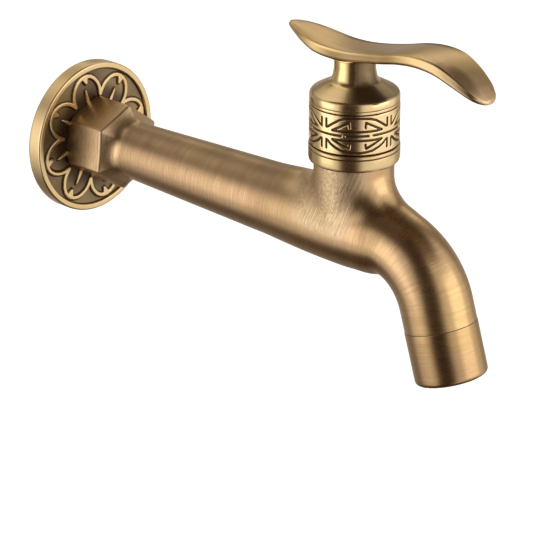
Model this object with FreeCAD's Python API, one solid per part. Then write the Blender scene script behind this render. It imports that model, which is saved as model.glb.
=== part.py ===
import FreeCAD, Part
import math
import os

os.makedirs("parts", exist_ok=True)
V = FreeCAD.Vector

# Millimetres. The wall is the plane y = 0, the tap points out along -Y and +Z is up.
# "out" is a distance from the wall, "height" is measured from the inlet's axis.

# Running and seating clearances
turning_gap = 0.05            # radial gap round a shaft that turns
slip_gap = 0.1                # radial gap round a piece that is pushed or screwed in
thread_gap = 0.05             # radial gap between plain cylinders that stand for threads
handle_gap = 0.25             # handle's skirt above the carved sleeve
small_round = 0.3             # broken edge on turned pieces
past = 1.0                    # how far a cutting shape runs past the face it opens

# Inlet end
thread_radius = 10.478        # half of a G1/2 pipe thread's outer diameter
thread_length = 16.0          # shank behind the wall plane
thread_chamfer = 1.2
thread_runout = 1.0           # threads stop this far in front of the wall plane
relief_radius = 9.6           # plain neck between the threads and the hexagon
inlet_bore_radius = 5.0
hex_corner_radius = 16.8
hex_turn = -7.3              # how far the hexagon is screwed round, in degrees
hex_front = 23.9              # corner's distance from the wall
hex_rear_chamfer = 1.6
flare_radius = 7.0            # hollow curve from the hexagon to the tube

# Wall plate
plate_radius = 30.0
plate_thickness = 6.2
plate_rim_width = 2.4
plate_recess = 1.3            # depth of the front field below the rim
plate_floor = 2.0             # metal left behind the front field
plate_wall = 2.6              # outer wall of the hollow back
plate_edge_round = 0.7

# Tube: a plain cone. Belly and spout: one bent horn that goes on from the tube's end
tube_root_radius = 11.15
tube_end_out = 100.0
tube_end_radius = 13.3
horn_step = 5.0               # the horn's rings stand about this far apart
rise_angle = 0.9              # the casting rises a little before it bends down
rise_length = 44.3
sag_radius = 42.0
sag_turn = 6.0
throat_length = 7.8
bend_radius = 26.2
spout_tilt = 17.0             # the outlet leans this far forward of straight down
spout_straight = 7.9
tower_out = 140.4
belly_stations = [(-26.0, 14.25), (-12.0, 15.05), (2.5, 15.4), (11.5, 14.75)]   # run past the tower, radius
throat_station = (15.0, 12.75)   # degrees into the bend, radius
spout_radius = 13.0

# Outlet bore and thread spigot
spout_bore_radius = 6.5
spigot_radius = 10.9
spigot_length = 8.0

# Valve tower
neck_radius = 14.3
neck_top = 26.1
neck_fillet = 10.0
collar_radius = 13.0
collar_top = 34.0
seat_height = 7.5
seat_port_radius = 4.6
chamber_radius = 9.5
head_thread_radius = 10.48
head_thread_start = 23.5
outlet_port_radius = 4.0
outlet_port_angle = 45.0
outlet_port_inset = 1.5       # the port's lower lip starts this far inside the chamber's wall
spout_bore_start = 8.0        # degrees into the bend where the wide bore begins

# Lower ring and carved sleeve
ring_radius = 16.25
ring_foot_radius = 15.9
ring_round = 0.7
ring_foot_height = 0.9        # height of the rounded foot
ring_groove_height = 30.7
groove_width = 0.5
groove_depth = 0.35
ring_top = 32.2
ring_notch = 0.6
sleeve_radius = 16.0
sleeve_top = 46.95
sleeve_wall = 1.8
sleeve_edge_round = 0.35
sleeve_lip_height = 1.6       # inner lip by which the sleeve rests on the collar

# Valve cartridge, called the head here
head_flange_across = 22.0
head_flange_height = 5.5
head_flange_turn = 30.0
head_barrel_radius = 7.5
head_top = 46.0
cage_radius = 8.9
cage_foot = 8.6
cage_window_width = 9.0
cage_window_low = 12.9
cage_window_high = 18.2
disc_radius = 8.0
fixed_disc_thickness = 3.0
moving_disc_thickness = 2.5
disc_port_inner = 1.6
disc_port_outer = 5.9
disc_port_angle = 80.0
disc_port_land = 0.6          # the moving disc's hollows start this far outside the fixed disc's ports
disc_running_gap = 0.3        # moving disc's rim inside the cage
disc_roof = 0.4               # ceramic left between the hollows and the drive slot
seat_seal_inner = 5.3
seat_seal_height = 2.5
drive_slot_width = 2.4
drive_slot_depth = 1.0
head_ring_height = 21.8
head_ring_section = 0.8
spindle_radius = 4.9
spindle_flange_radius = 7.8
spindle_flange_height = 3.4
quarter_turn = 90.0
stop_lug_angle = 24.0
stop_lug_inner = 5.9
stop_slot_floor = 1.5         # flange left under the stop slot
stop_margin = 1.5
stop_lug_middle = 180.0       # direction of the fixed lug, in degrees
spindle_ring_heights = [26.0, 30.5]
spindle_ring_section = 0.65
washer_thickness = 0.6
washer_radius = 7.0
circlip_thickness = 0.8
circlip_outer = 6.2
circlip_groove_radius = 4.1
circlip_mouth = 60.0
spindle_land = 0.8            # plain land above the circlip's groove
spline_radius = 3.9
spline_root = 3.45
spline_teeth = 20
spline_top = 59.0

# Handle
cap_radius = 15.9
cap_bead = 0.9
cap_bead_depth = 0.25
cap_side_top = 51.1
cap_shoulder_round = 1.3
cap_cone_top = 55.3
cap_wall = 2.0
cap_roof = 2.6
cap_groove_width = 0.4        # fine groove above the bead
hub_radius = 7.3
hub_foot_radius = 8.1
hub_foot_height = 4.0
hub_fillet = 2.0
hub_top = 64.8
socket_boss_radius = 6.3
socket_mouth = 48.5
socket_clearance = 1.0        # socket's roof above the spline's end
lever_edge_round = 1.9
lever_hub_edge_round = 1.1    # squarer where the blade crosses the hub
lever_flare = 0.1             # sides lean out by this share of their depth
# blade sections from tail to nose: distance from the wall, half width, top height, depth
lever_sections = [(110.6, 1.4, 70.25, 1.0), (112.5, 3.1, 70.3, 1.6), (116.0, 4.8, 70.0, 2.5),
                  (121.0, 6.4, 69.2, 3.5), (127.0, 7.3, 68.2, 4.4), (134.0, 7.2, 67.6, 4.7),
                  (142.0, 7.2, 67.8, 4.5), (150.0, 7.4, 68.8, 4.1), (158.0, 8.0, 70.3, 4.1),
                  (166.0, 8.7, 72.2, 4.2), (174.0, 9.0, 73.1, 4.3), (182.0, 8.7, 72.4, 4.5),
                  (189.0, 7.8, 69.5, 4.4), (195.0, 6.4, 65.7, 3.6), (197.6, 5.1, 63.7, 2.9),
                  (199.1, 3.5, 62.4, 2.1), (200.0, 1.4, 61.6, 1.6)]
grub_drop = 1.2               # the screw bites this far below the spline's top
grub_radius = 2.0
grub_length = 3.0
grub_key_across = 2.0
grub_key_depth = 1.6

# Aerator, measured along the outlet from the seam
nozzle_length = 19.45
nozzle_tip_round = 1.6
nozzle_seam_step = 0.12
nozzle_bore_depth = 12.0
nozzle_lower_bore = 9.55
nozzle_lip_radius = 8.7
nozzle_lip = 0.9
nozzle_seam_round = 0.25
washer_inner = 7.0
rubber_washer_thickness = 1.7
insert_flange_radius = 10.6
insert_wall = 0.8
screen_thickness = 0.35
screen_ledge = 0.5            # the screen lies on a step this wide
grid_thickness = 1.5
grid_cell = 2.1
grid_rib = 0.5
grid_inset = 0.3              # grid's face above the insert's foot

# Values that follow from the sizes above
plate_field = plate_thickness - plate_recess      # where the hexagon seats on the plate
grub_height = spline_top - grub_drop
socket_top = spline_top + socket_clearance
tube_root_out = hex_front + flare_radius
bend_turn = 90.0 - spout_tilt + rise_angle - sag_turn
bend_start = rise_length + sag_radius * math.radians(sag_turn) + throat_length
bend_length = bend_radius * math.radians(bend_turn)
seam_run = bend_start + bend_length + spout_straight

# Local +Z turned to point out of the wall, local +Y up
out_of_wall = FreeCAD.Placement(V(0, 0, 0), FreeCAD.Rotation(V(1, 0, 0), 90))
on_tower = FreeCAD.Placement(V(0, -tower_out, 0), FreeCAD.Rotation())


def save(shape, node):
    """Check one piece and write it under its node name."""
    if shape.ShapeType == "Compound" and len(shape.Solids) == 1:
        shape = shape.Solids[0]
    if not shape.isValid():
        raise ValueError(node + " is not a valid solid")
    shape.exportStep("parts/" + node + ".step")
    print("%-22s solids %d  volume %9.1f" % (node, len(shape.Solids), shape.Volume))


def rounded_outline(corners):
    """Closed wire in the XZ plane from corners (x, z) or (x, z, rounding radius)."""
    edges = []
    count = len(corners)
    starts = []
    for i in range(count):
        before, here, after = corners[i - 1], corners[i], corners[(i + 1) % count]
        point = V(here[0], 0, here[1])
        radius = here[2] if len(here) > 2 else 0.0
        if radius <= 0:
            starts.append((point, None, point))
            continue
        back = (V(before[0], 0, before[1]) - point).normalize()
        ahead = (V(after[0], 0, after[1]) - point).normalize()
        half = back.getAngle(ahead) / 2
        reach = radius / math.tan(half)
        middle = (back + ahead).normalize()
        middle_point = point + middle * (radius / math.sin(half) - radius)
        starts.append((point + back * reach, middle_point, point + ahead * reach))
    for i in range(count):
        enter, middle, leave = starts[i]
        following = starts[(i + 1) % count][0]
        if middle is not None:
            edges.append(Part.Arc(enter, middle, leave).toShape())
        if (following - leave).Length > 1e-6:
            edges.append(Part.LineSegment(leave, following).toShape())
    return Part.Wire(edges)


def turned(corners):
    """Solid of revolution about Z from an outline of (radius, height, rounding) corners."""
    face = Part.Face(rounded_outline(corners))
    return face.revolve(V(0, 0, 0), V(0, 0, 1), 360)


def cylinder(radius, low, high):
    return Part.makeCylinder(radius, high - low, V(0, 0, low))


def tube(outer, inner, low, high):
    return cylinder(outer, low, high).cut(cylinder(inner, low - past, high + past))


def prism(corner_radius, sides, turn, low, high):
    points = []
    for i in range(sides + 1):
        angle = math.radians(turn + 360.0 * i / sides)
        points.append(V(corner_radius * math.cos(angle), corner_radius * math.sin(angle), low))
    return Part.Face(Part.makePolygon(points)).extrude(V(0, 0, high - low))


def sector(inner, outer, middle, width, low, high):
    """Part of a ring: its middle direction and width in degrees."""
    first = math.radians(middle - width / 2)
    last = math.radians(middle + width / 2)
    centre = math.radians(middle)

    def at(radius, angle):
        return V(radius * math.cos(angle), radius * math.sin(angle), low)

    edges = [Part.Arc(at(inner, first), at(inner, centre), at(inner, last)).toShape(),
             Part.LineSegment(at(inner, last), at(outer, last)).toShape(),
             Part.Arc(at(outer, last), at(outer, centre), at(outer, first)).toShape(),
             Part.LineSegment(at(outer, first), at(inner, first)).toShape()]
    return Part.Face(Part.Wire(edges)).extrude(V(0, 0, high - low))


def round_ring(centre_radius, section, height):
    return Part.makeTorus(centre_radius, section, V(0, 0, height))


def placed(shape, place):
    shape = shape.copy()
    shape.Placement = place.multiply(shape.Placement)
    return shape


def horn_line(run):
    """Out, height and downward heading of the horn's centre line, run millimetres past the tube's end."""
    steps = [(rise_length, 0.0),
             (sag_radius * math.radians(sag_turn), sag_radius),
             (throat_length, 0.0),
             (bend_radius * math.radians(bend_turn), bend_radius),
             (spout_straight, 0.0)]
    out, height, heading = tube_end_out, 0.0, -math.radians(rise_angle)
    for length, radius in steps:
        part = min(run, length)
        if radius > 0:
            turn = part / radius
            out += radius * (math.sin(heading + turn) - math.sin(heading))
            height -= radius * (math.cos(heading) - math.cos(heading + turn))
            heading += turn
        else:
            out += part * math.cos(heading)
            height -= part * math.sin(heading)
        run -= part
        if run <= 0:
            break
    return out, height, math.degrees(heading)


seam_out, seam_height, seam_heading = horn_line(seam_run)
# Local +Z runs with the water out of the spout, from the seam
at_seam = FreeCAD.Placement(V(0, -seam_out, seam_height), FreeCAD.Rotation(V(1, 0, 0), 90 + seam_heading))


def ring_across(out, height, heading, radius):
    wire = Part.Wire([Part.makeCircle(radius)])
    wire.Placement = FreeCAD.Placement(V(0, -out, height), FreeCAD.Rotation(V(1, 0, 0), 90 + heading))
    return wire


def horn_radius(run):
    """Smooth curve through the horn's radii, run millimetres past the tube's end."""
    tower_run = tower_out - tube_end_out
    throat_run = bend_start + bend_radius * math.radians(throat_station[0])
    taper = (tube_end_radius - tube_root_radius) / (tube_end_out - tube_root_out)
    knots = [(0.0, tube_end_radius)]
    knots += [(tower_run + past_tower, radius) for past_tower, radius in belly_stations]
    knots += [(throat_run, throat_station[1]), (bend_start + bend_length, spout_radius)]
    knots.append((seam_run, spout_radius))
    slopes = [taper]
    for i in range(1, len(knots) - 1):
        before = (knots[i][1] - knots[i - 1][1]) / (knots[i][0] - knots[i - 1][0])
        after = (knots[i + 1][1] - knots[i][1]) / (knots[i + 1][0] - knots[i][0])
        slopes.append(2 * before * after / (before + after) if before * after > 0 else 0.0)
    slopes.append(0.0)
    index = 0
    while index < len(knots) - 2 and run > knots[index + 1][0]:
        index += 1
    (start, low), (end, high) = knots[index], knots[index + 1]
    span = end - start
    share = (run - start) / span
    rise = share * share * (3 - 2 * share)
    enter = share * (1 - share) ** 2 * span * slopes[index]
    leave = share * share * (share - 1) * span * slopes[index + 1]
    return low + (high - low) * rise + enter + leave


def horn():
    """Tapered tube, then belly and spout lofted along the bent centre line."""
    tube_length = tube_end_out - tube_root_out
    cone = Part.makeCone(tube_root_radius, tube_end_radius, tube_length, V(0, -tube_root_out, 0), V(0, -1, 0))
    rings = [ring_across(tube_end_out, 0, 0, tube_end_radius)]
    count = round(seam_run / horn_step)
    for i in range(1, count + 1):
        run = seam_run * i / count
        out, height, heading = horn_line(run)
        rings.append(ring_across(out, height, heading, horn_radius(run)))
    return Part.makeLoft(rings, True, False).fuse(cone)


def hexagon():
    """Spanner flats, bevelled at the wall side and drawn in to the tube by a hollow curve."""
    seat = plate_field
    flare_end = tube_root_out
    flats = prism(hex_corner_radius, 6, 90 + hex_turn, seat, flare_end + past)
    bevel = hex_rear_chamfer
    outer = hex_corner_radius + slip_gap
    centre_radius = tube_root_radius + flare_radius
    middle_angle = math.radians(45)
    middle = V(centre_radius - flare_radius * math.cos(middle_angle), 0,
               flare_end - flare_radius * math.sin(middle_angle))
    end = V(tube_root_radius, 0, flare_end)
    reach = centre_radius - outer
    start = V(outer, 0, flare_end - math.sqrt(flare_radius ** 2 - reach ** 2))
    points = [V(0, 0, flare_end), V(0, 0, seat), V(outer - bevel, 0, seat), V(outer, 0, seat + bevel), start]
    edges = [Part.LineSegment(a, b).toShape() for a, b in zip(points, points[1:])]
    edges.append(Part.Arc(start, middle, end).toShape())
    edges.append(Part.LineSegment(end, points[0]).toShape())
    turned_blank = Part.Face(Part.Wire(edges)).revolve(V(0, 0, 0), V(0, 0, 1), 360)
    return placed(flats.common(turned_blank), out_of_wall)


def tap_body():
    """One casting: threaded shank, hexagon, tube, belly with the valve tower, and spout."""
    neck = placed(cylinder(neck_radius, 0, neck_top), on_tower)
    body = horn().fuse(neck)
    crotch = [edge for edge in body.Edges
              if edge.BoundBox.ZMin > past and edge.BoundBox.ZMax < neck_top - past
              and edge.BoundBox.YMin > -tower_out - 1.2 * neck_radius
              and edge.BoundBox.YMax < -tower_out + 1.2 * neck_radius]
    body = body.makeFillet(neck_fillet, crotch)
    shank = turned([(0, -thread_length), (thread_radius - thread_chamfer, -thread_length),
                    (thread_radius, -thread_length + thread_chamfer), (thread_radius, thread_runout),
                    (relief_radius, thread_runout), (relief_radius, plate_field + past),
                    (0, plate_field + past)])
    body = body.fuse(hexagon()).fuse(placed(shank, out_of_wall))
    body = body.fuse(placed(cylinder(collar_radius, neck_top - past, collar_top), on_tower))
    body = body.fuse(placed(cylinder(spigot_radius, -past, spigot_length), at_seam))
    return body.cut(waterway()).removeSplitter()


def waterway():
    """Everything the water and the valve head fill inside the casting."""
    bore_end = tower_out + seat_port_radius
    inlet = placed(cylinder(inlet_bore_radius, -thread_length - past, bore_end), out_of_wall)
    port = placed(cylinder(seat_port_radius, 0, seat_height + past), on_tower)
    chamber = placed(cylinder(chamber_radius, seat_height, collar_top + past), on_tower)
    thread = placed(cylinder(head_thread_radius, head_thread_start, collar_top + past), on_tower)
    cavity = inlet.fuse(port).fuse(chamber).fuse(thread)

    # the outlet port's lower lip starts in the floor corner of the chamber
    slope = math.radians(outlet_port_angle)
    lip_out = tower_out + chamber_radius - outlet_port_inset
    centre_out = lip_out + outlet_port_radius * math.sin(slope)
    centre_height = seat_height + outlet_port_radius * math.cos(slope)
    back = outlet_port_radius
    start = V(0, -(centre_out - back * math.cos(slope)), centre_height + back * math.sin(slope))
    direction = V(0, -math.cos(slope), -math.sin(slope))
    bore_start = bend_start + bend_radius * math.radians(spout_bore_start)
    meet_out = horn_line(bore_start + spout_bore_radius)[0]
    length = (meet_out - centre_out) / math.cos(slope) + back
    port_out = Part.makeCylinder(outlet_port_radius, length, start, direction)

    rings = []
    bore_steps = 4
    for i in range(bore_steps + 1):
        run = bore_start + (bend_start + bend_length - bore_start) * i / bore_steps
        out, height, heading = horn_line(run)
        rings.append(ring_across(out, height, heading, spout_bore_radius))
    bore = Part.makeLoft(rings, True, False)
    drop = placed(cylinder(spout_bore_radius, -spout_straight, spigot_length + past), at_seam)
    return cavity.fuse(port_out).fuse(bore).fuse(drop)


def escutcheon():
    """Round wall plate with a raised rim, a sunk front field and a hollow back."""
    field_radius = plate_radius - plate_rim_width
    field = plate_field
    inner = thread_radius + slip_gap
    back = field - plate_floor
    corners = [(inner, back), (plate_radius - plate_wall, back), (plate_radius - plate_wall, 0),
               (plate_radius, 0), (plate_radius, plate_thickness, plate_edge_round),
               (field_radius, plate_thickness, small_round), (field_radius, field), (inner, field)]
    return placed(turned(corners), out_of_wall)


def lower_ring():
    """Turned ring that screws on the tower's collar under the carved sleeve."""
    inner = collar_radius + thread_gap
    groove_low = ring_groove_height - groove_width / 2
    groove_high = ring_groove_height + groove_width / 2
    corners = [(inner, neck_top), (ring_foot_radius, neck_top, small_round),
               (ring_radius, neck_top + ring_foot_height, ring_round),
               (ring_radius, groove_low), (ring_radius - groove_depth, ring_groove_height),
               (ring_radius, groove_high), (ring_radius, ring_top - ring_notch / 2),
               (ring_radius - ring_notch, ring_top), (inner, ring_top)]
    return placed(turned(corners), on_tower)


def carved_sleeve():
    """Plain band of the tower; it covers the valve head's hexagon."""
    bore = sleeve_radius - sleeve_wall
    corners = [(bore, ring_top), (sleeve_radius - ring_notch, ring_top),
               (sleeve_radius, ring_top + ring_notch), (sleeve_radius, sleeve_top, sleeve_edge_round),
               (bore, sleeve_top)]
    lip = tube(bore + small_round, collar_radius + thread_gap, ring_top, ring_top + sleeve_lip_height)
    return placed(turned(corners).fuse(lip).removeSplitter(), on_tower)


def head_levels():
    """Heights of the stacked valve pieces, from the seat up."""
    fixed_low = seat_height + seat_seal_height
    fixed_high = fixed_low + fixed_disc_thickness
    moving_low = fixed_high + turning_gap
    moving_high = moving_low + moving_disc_thickness
    flange_low = moving_high + turning_gap
    flange_high = flange_low + spindle_flange_height
    roof = flange_high + turning_gap
    return fixed_low, fixed_high, moving_low, moving_high, flange_low, flange_high, roof


def head_body():
    """Brass valve head: cage for the discs, thread, hexagon flange and barrel."""
    fixed_low, fixed_high, moving_low, moving_high, flange_low, flange_high, roof = head_levels()
    cage_bore = disc_radius + turning_gap
    flange_top = collar_top + head_flange_height
    shell = cylinder(cage_radius, cage_foot, roof + past)
    shell = shell.fuse(cylinder(chamber_radius - slip_gap, roof, head_thread_start + past))
    shell = shell.fuse(cylinder(head_thread_radius - thread_gap, head_thread_start + small_round, collar_top))
    flange_corner = head_flange_across / 2 / math.cos(math.radians(30))
    shell = shell.fuse(prism(flange_corner, 6, head_flange_turn, collar_top, flange_top))
    shell = shell.fuse(cylinder(head_barrel_radius, collar_top, head_top))
    shell = shell.cut(cylinder(cage_bore, cage_foot - past, roof))
    shell = shell.cut(cylinder(spindle_radius + turning_gap, roof - past, head_top + past))
    groove = head_ring_section + slip_gap
    groove_root = chamber_radius - 2 * head_ring_section
    shell = shell.cut(tube(chamber_radius + past, groove_root,
                           head_ring_height - groove, head_ring_height + groove))
    window = Part.makeBox(cage_window_width, 4 * cage_radius, cage_window_high - cage_window_low,
                          V(-cage_window_width / 2, -2 * cage_radius, cage_window_low))
    shell = shell.cut(window)
    lug = sector(stop_lug_inner, cage_bore + slip_gap, stop_lug_middle, stop_lug_angle,
                 flange_low + stop_slot_floor + slip_gap, roof + slip_gap)
    return placed(shell.fuse(lug).removeSplitter(), on_tower)


def spindle():
    """Splined spindle with a flange that turns a quarter turn between stops."""
    fixed_low, fixed_high, moving_low, moving_high, flange_low, flange_high, roof = head_levels()
    clip_low = head_top + washer_thickness + turning_gap
    clip_high = clip_low + circlip_thickness
    shaft_top = clip_high + spindle_land
    shaft = cylinder(spindle_radius, flange_low, shaft_top)
    shaft = shaft.fuse(cylinder(spindle_flange_radius, flange_low, flange_high))
    shaft = shaft.cut(tube(spindle_radius + past, circlip_groove_radius, clip_low, clip_high))
    for height in spindle_ring_heights:
        half = spindle_ring_section + slip_gap
        root = spindle_radius - 2 * spindle_ring_section
        shaft = shaft.cut(tube(spindle_radius + past, root, height - half, height + half))
    swept = quarter_turn + stop_lug_angle + 2 * stop_margin
    slot = sector(stop_lug_inner - slip_gap, spindle_flange_radius + past, stop_lug_middle - quarter_turn / 2,
                  swept, flange_low + stop_slot_floor, flange_high + past)
    shaft = shaft.cut(slot)
    shaft = shaft.fuse(spline(0.0, shaft_top - past, spline_top))
    tongue_width = drive_slot_width - 2 * slip_gap
    tongue_half = disc_port_outer
    tongue = Part.makeBox(2 * tongue_half, tongue_width, drive_slot_depth,
                          V(-tongue_half, -tongue_width / 2, flange_low - drive_slot_depth + slip_gap))
    return placed(shaft.fuse(tongue).removeSplitter(), on_tower)


def spline(grow, low, high):
    """Star section with the spindle's teeth, grown outwards for the socket that takes it."""
    points = []
    for i in range(2 * spline_teeth + 1):
        radius = (spline_radius if i % 2 == 0 else spline_root) + grow
        angle = math.pi * i / spline_teeth
        points.append(V(radius * math.cos(angle), radius * math.sin(angle), low))
    return Part.Face(Part.makePolygon(points)).extrude(V(0, 0, high - low))


def fixed_disc():
    """Ceramic disc with two ports, held in the cage."""
    fixed_low, fixed_high = head_levels()[:2]
    disc = cylinder(disc_radius, fixed_low, fixed_high)
    for side in (90, 270):
        disc = disc.cut(sector(disc_port_inner, disc_port_outer, side, disc_port_angle,
                               fixed_low - past, fixed_high + past))
    return placed(disc, on_tower)


def moving_disc():
    """Ceramic disc that the spindle turns; its wings cover the ports when the tap is shut."""
    moving_low, moving_high = head_levels()[2:4]
    disc = cylinder(disc_radius - disc_running_gap, moving_low, moving_high)
    for side in (0, 180):
        disc = disc.cut(sector(disc_port_inner + disc_port_land, disc_radius + past, side, disc_port_angle,
                               moving_low - past, moving_high - drive_slot_depth - disc_roof))
    slot = Part.makeBox(4 * disc_radius, drive_slot_width, drive_slot_depth + past,
                        V(-2 * disc_radius, -drive_slot_width / 2, moving_high - drive_slot_depth))
    return placed(disc.cut(slot), on_tower)


def seat_seal():
    """Rubber ring between the seat in the casting and the fixed disc."""
    low = seat_height
    return placed(tube(disc_radius, seat_seal_inner, low, low + seat_seal_height), on_tower)


def circlip():
    """Spring clip in the spindle's groove, above the thrust washer."""
    low = head_top + washer_thickness + turning_gap
    clip = tube(circlip_outer, circlip_groove_radius, low, low + circlip_thickness)
    mouth = sector(circlip_groove_radius / 2, circlip_outer + past, 0, circlip_mouth,
                   low - past, low + circlip_thickness + past)
    return placed(clip.cut(mouth), on_tower)


def blade_section(out, half, top, depth):
    """Closed section across the blade: flat top, sides leaning out, rounded lower corners."""
    near_hub = abs(out - tower_out) < 2 * hub_radius
    wanted = lever_hub_edge_round if near_hub else lever_edge_round
    radius = min(wanted, 0.5 * half, 0.6 * depth)
    low = half + lever_flare * depth
    floor = top - depth
    bulge = radius * (1 - math.sqrt(0.5))
    corners = [V(-half, -out, top), V(half, -out, top), V(low, -out, floor + radius),
               V(low - radius, -out, floor), V(radius - low, -out, floor), V(-low, -out, floor + radius)]
    right = V(low - bulge, -out, floor + bulge)
    left = V(bulge - low, -out, floor + bulge)
    return Part.Wire([Part.LineSegment(corners[0], corners[1]).toShape(),
                      Part.LineSegment(corners[1], corners[2]).toShape(),
                      Part.Arc(corners[2], right, corners[3]).toShape(),
                      Part.LineSegment(corners[3], corners[4]).toShape(),
                      Part.Arc(corners[4], left, corners[5]).toShape(),
                      Part.LineSegment(corners[5], corners[0]).toShape()])


def lever_blade():
    """Leaf-shaped lever that rises to its tail, dips over the hub and droops at its nose."""
    return Part.makeLoft([blade_section(*section) for section in lever_sections], True, False)


def lever_handle():
    """Handle casting: lever, hub and the hollow cap that covers the valve head."""
    skirt = sleeve_top + handle_gap
    bead = skirt + cap_bead
    groove_middle = bead + cap_groove_width / 2
    outer = [(0, skirt), (cap_radius, skirt, small_round), (cap_radius, bead),
             (cap_radius - cap_bead_depth, groove_middle), (cap_radius, bead + cap_groove_width),
             (cap_radius, cap_side_top, cap_shoulder_round), (hub_foot_radius, cap_cone_top, hub_fillet),
             (hub_radius, cap_cone_top + hub_foot_height, 1.0), (hub_radius, hub_top), (0, hub_top)]
    handle = turned(outer)
    roof = cap_cone_top - cap_roof
    inner = cap_radius - cap_wall
    shoulder = cap_side_top - cap_wall / 2
    hollow = turned([(socket_boss_radius, skirt - past), (inner, skirt - past), (inner, shoulder),
                     (hub_foot_radius, roof), (socket_boss_radius, roof)])
    handle = handle.cut(hollow)
    handle = handle.cut(cylinder(socket_boss_radius + small_round, skirt - past, socket_mouth))
    handle = placed(handle, on_tower).fuse(lever_blade()).removeSplitter()
    handle = handle.cut(placed(spline(turning_gap, socket_mouth - past, socket_top), on_tower))
    return handle.cut(grub_space(grub_radius + thread_gap, spline_root, hub_foot_radius + past))


def grub_space(radius, near, far):
    """Cylinder across the hub on the side that faces the wall."""
    return Part.makeCylinder(radius, far - near, V(0, -tower_out + near, grub_height), V(0, 1, 0))


def grub_screw():
    """Headless screw that clamps the handle on the spline."""
    near = spline_radius + turning_gap
    screw = grub_space(grub_radius, near, near + grub_length)
    key = prism(grub_key_across / 2 / math.cos(math.radians(30)), 6, 0, -grub_key_depth, past)
    key.Placement = FreeCAD.Placement(V(0, -tower_out + near + grub_length, grub_height),
                                      FreeCAD.Rotation(V(1, 0, 0), -90))
    return screw.cut(key)


def nozzle():
    """Aerator housing that screws over the spout's spigot."""
    upper_bore = spigot_radius + thread_gap
    outer = spout_radius + nozzle_seam_step
    bore_end = nozzle_length - nozzle_lip
    corners = [(upper_bore, 0), (outer, 0, nozzle_seam_round), (outer, nozzle_length, nozzle_tip_round),
               (nozzle_lip_radius, nozzle_length, small_round), (nozzle_lip_radius, bore_end),
               (nozzle_lower_bore, bore_end), (nozzle_lower_bore, nozzle_bore_depth),
               (upper_bore, nozzle_bore_depth)]
    return placed(turned(corners), at_seam)


def insert_levels():
    flange_low = spigot_length + rubber_washer_thickness
    flange_high = nozzle_bore_depth
    foot = nozzle_length - nozzle_lip
    return flange_low, flange_high, foot


def aerator_washer():
    """Rubber washer squeezed between the spigot and the aerator insert."""
    return placed(tube(insert_flange_radius, washer_inner, spigot_length, insert_levels()[0]), at_seam)


def aerator_insert():
    """Plastic cup that hangs by its flange inside the housing."""
    flange_low, flange_high, foot = insert_levels()
    outer = nozzle_lower_bore - slip_gap
    inner = outer - insert_wall
    screen_seat = inner + screen_ledge
    ledge = flange_low + screen_thickness
    corners = [(inner, foot), (inner, ledge), (screen_seat, ledge), (screen_seat, flange_low),
               (insert_flange_radius, flange_low), (insert_flange_radius, flange_high),
               (outer, flange_high), (outer, foot)]
    return placed(turned(corners), at_seam)


def aerator_screen():
    """Round debris screen in the top of the insert."""
    flange_low = insert_levels()[0]
    radius = nozzle_lower_bore - slip_gap - insert_wall + screen_ledge - turning_gap
    return placed(cylinder(radius, flange_low, flange_low + screen_thickness), at_seam)


def aerator_grid():
    """Square outlet grid at the foot of the insert."""
    foot = insert_levels()[2]
    radius = nozzle_lower_bore - slip_gap - insert_wall
    high = foot - grid_inset
    disc = cylinder(radius, high - grid_thickness, high)
    cells = []
    open_width = grid_cell - grid_rib
    reach = int(radius / grid_cell) + 1
    for i in range(-reach, reach + 1):
        for j in range(-reach, reach + 1):
            x, y = i * grid_cell, j * grid_cell
            if math.hypot(x, y) + open_width * 0.75 > radius - grid_rib:
                continue
            corner = V(x - open_width / 2, y - open_width / 2, high - grid_thickness - past)
            cells.append(Part.makeBox(open_width, open_width, grid_thickness + 2 * past, corner))
    return placed(disc.cut(Part.makeCompound(cells)), at_seam)


def thrust_washer():
    """Slippery plastic washer between the valve head's top and the circlip."""
    washer = tube(washer_radius, spindle_radius + slip_gap, head_top, head_top + washer_thickness)
    return placed(washer, on_tower)


def head_o_ring():
    ring = round_ring(chamber_radius - head_ring_section, head_ring_section, head_ring_height)
    return placed(ring, on_tower)


def spindle_o_ring(height):
    ring = round_ring(spindle_radius - spindle_ring_section, spindle_ring_section, height)
    return placed(ring, on_tower)


save(tap_body(), "tap_body")
save(escutcheon(), "escutcheon")
save(lower_ring(), "lower_ring")
save(carved_sleeve(), "carved_sleeve")
save(head_body(), "head_body")
save(head_o_ring(), "head_o_ring")
save(seat_seal(), "seat_seal")
save(fixed_disc(), "fixed_disc")
save(moving_disc(), "moving_disc")
save(spindle(), "spindle")
for name, height in zip(("lower", "upper"), spindle_ring_heights):
    save(spindle_o_ring(height), "spindle_o_ring_" + name)
save(thrust_washer(), "thrust_washer")
save(circlip(), "circlip")
save(lever_handle(), "lever_handle")
save(grub_screw(), "grub_screw")
save(nozzle(), "nozzle")
save(aerator_washer(), "aerator_washer")
save(aerator_insert(), "aerator_insert")
save(aerator_screen(), "aerator_screen")
save(aerator_grid(), "aerator_grid")
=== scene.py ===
import math

import bmesh
import bpy
from mathutils import Matrix, Vector


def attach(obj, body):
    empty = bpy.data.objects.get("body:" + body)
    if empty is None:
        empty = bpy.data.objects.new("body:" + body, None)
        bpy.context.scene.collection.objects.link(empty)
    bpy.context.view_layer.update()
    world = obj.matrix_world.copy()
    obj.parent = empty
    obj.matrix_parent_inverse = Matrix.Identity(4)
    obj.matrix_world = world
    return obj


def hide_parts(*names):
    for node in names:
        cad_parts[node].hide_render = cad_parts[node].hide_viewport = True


# Garden tap. Lengths are worked in millimetres and brought to metres when a piece is finished.
# The wall is the plane y = 0, the tap points out along -Y and +Z is up.

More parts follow.
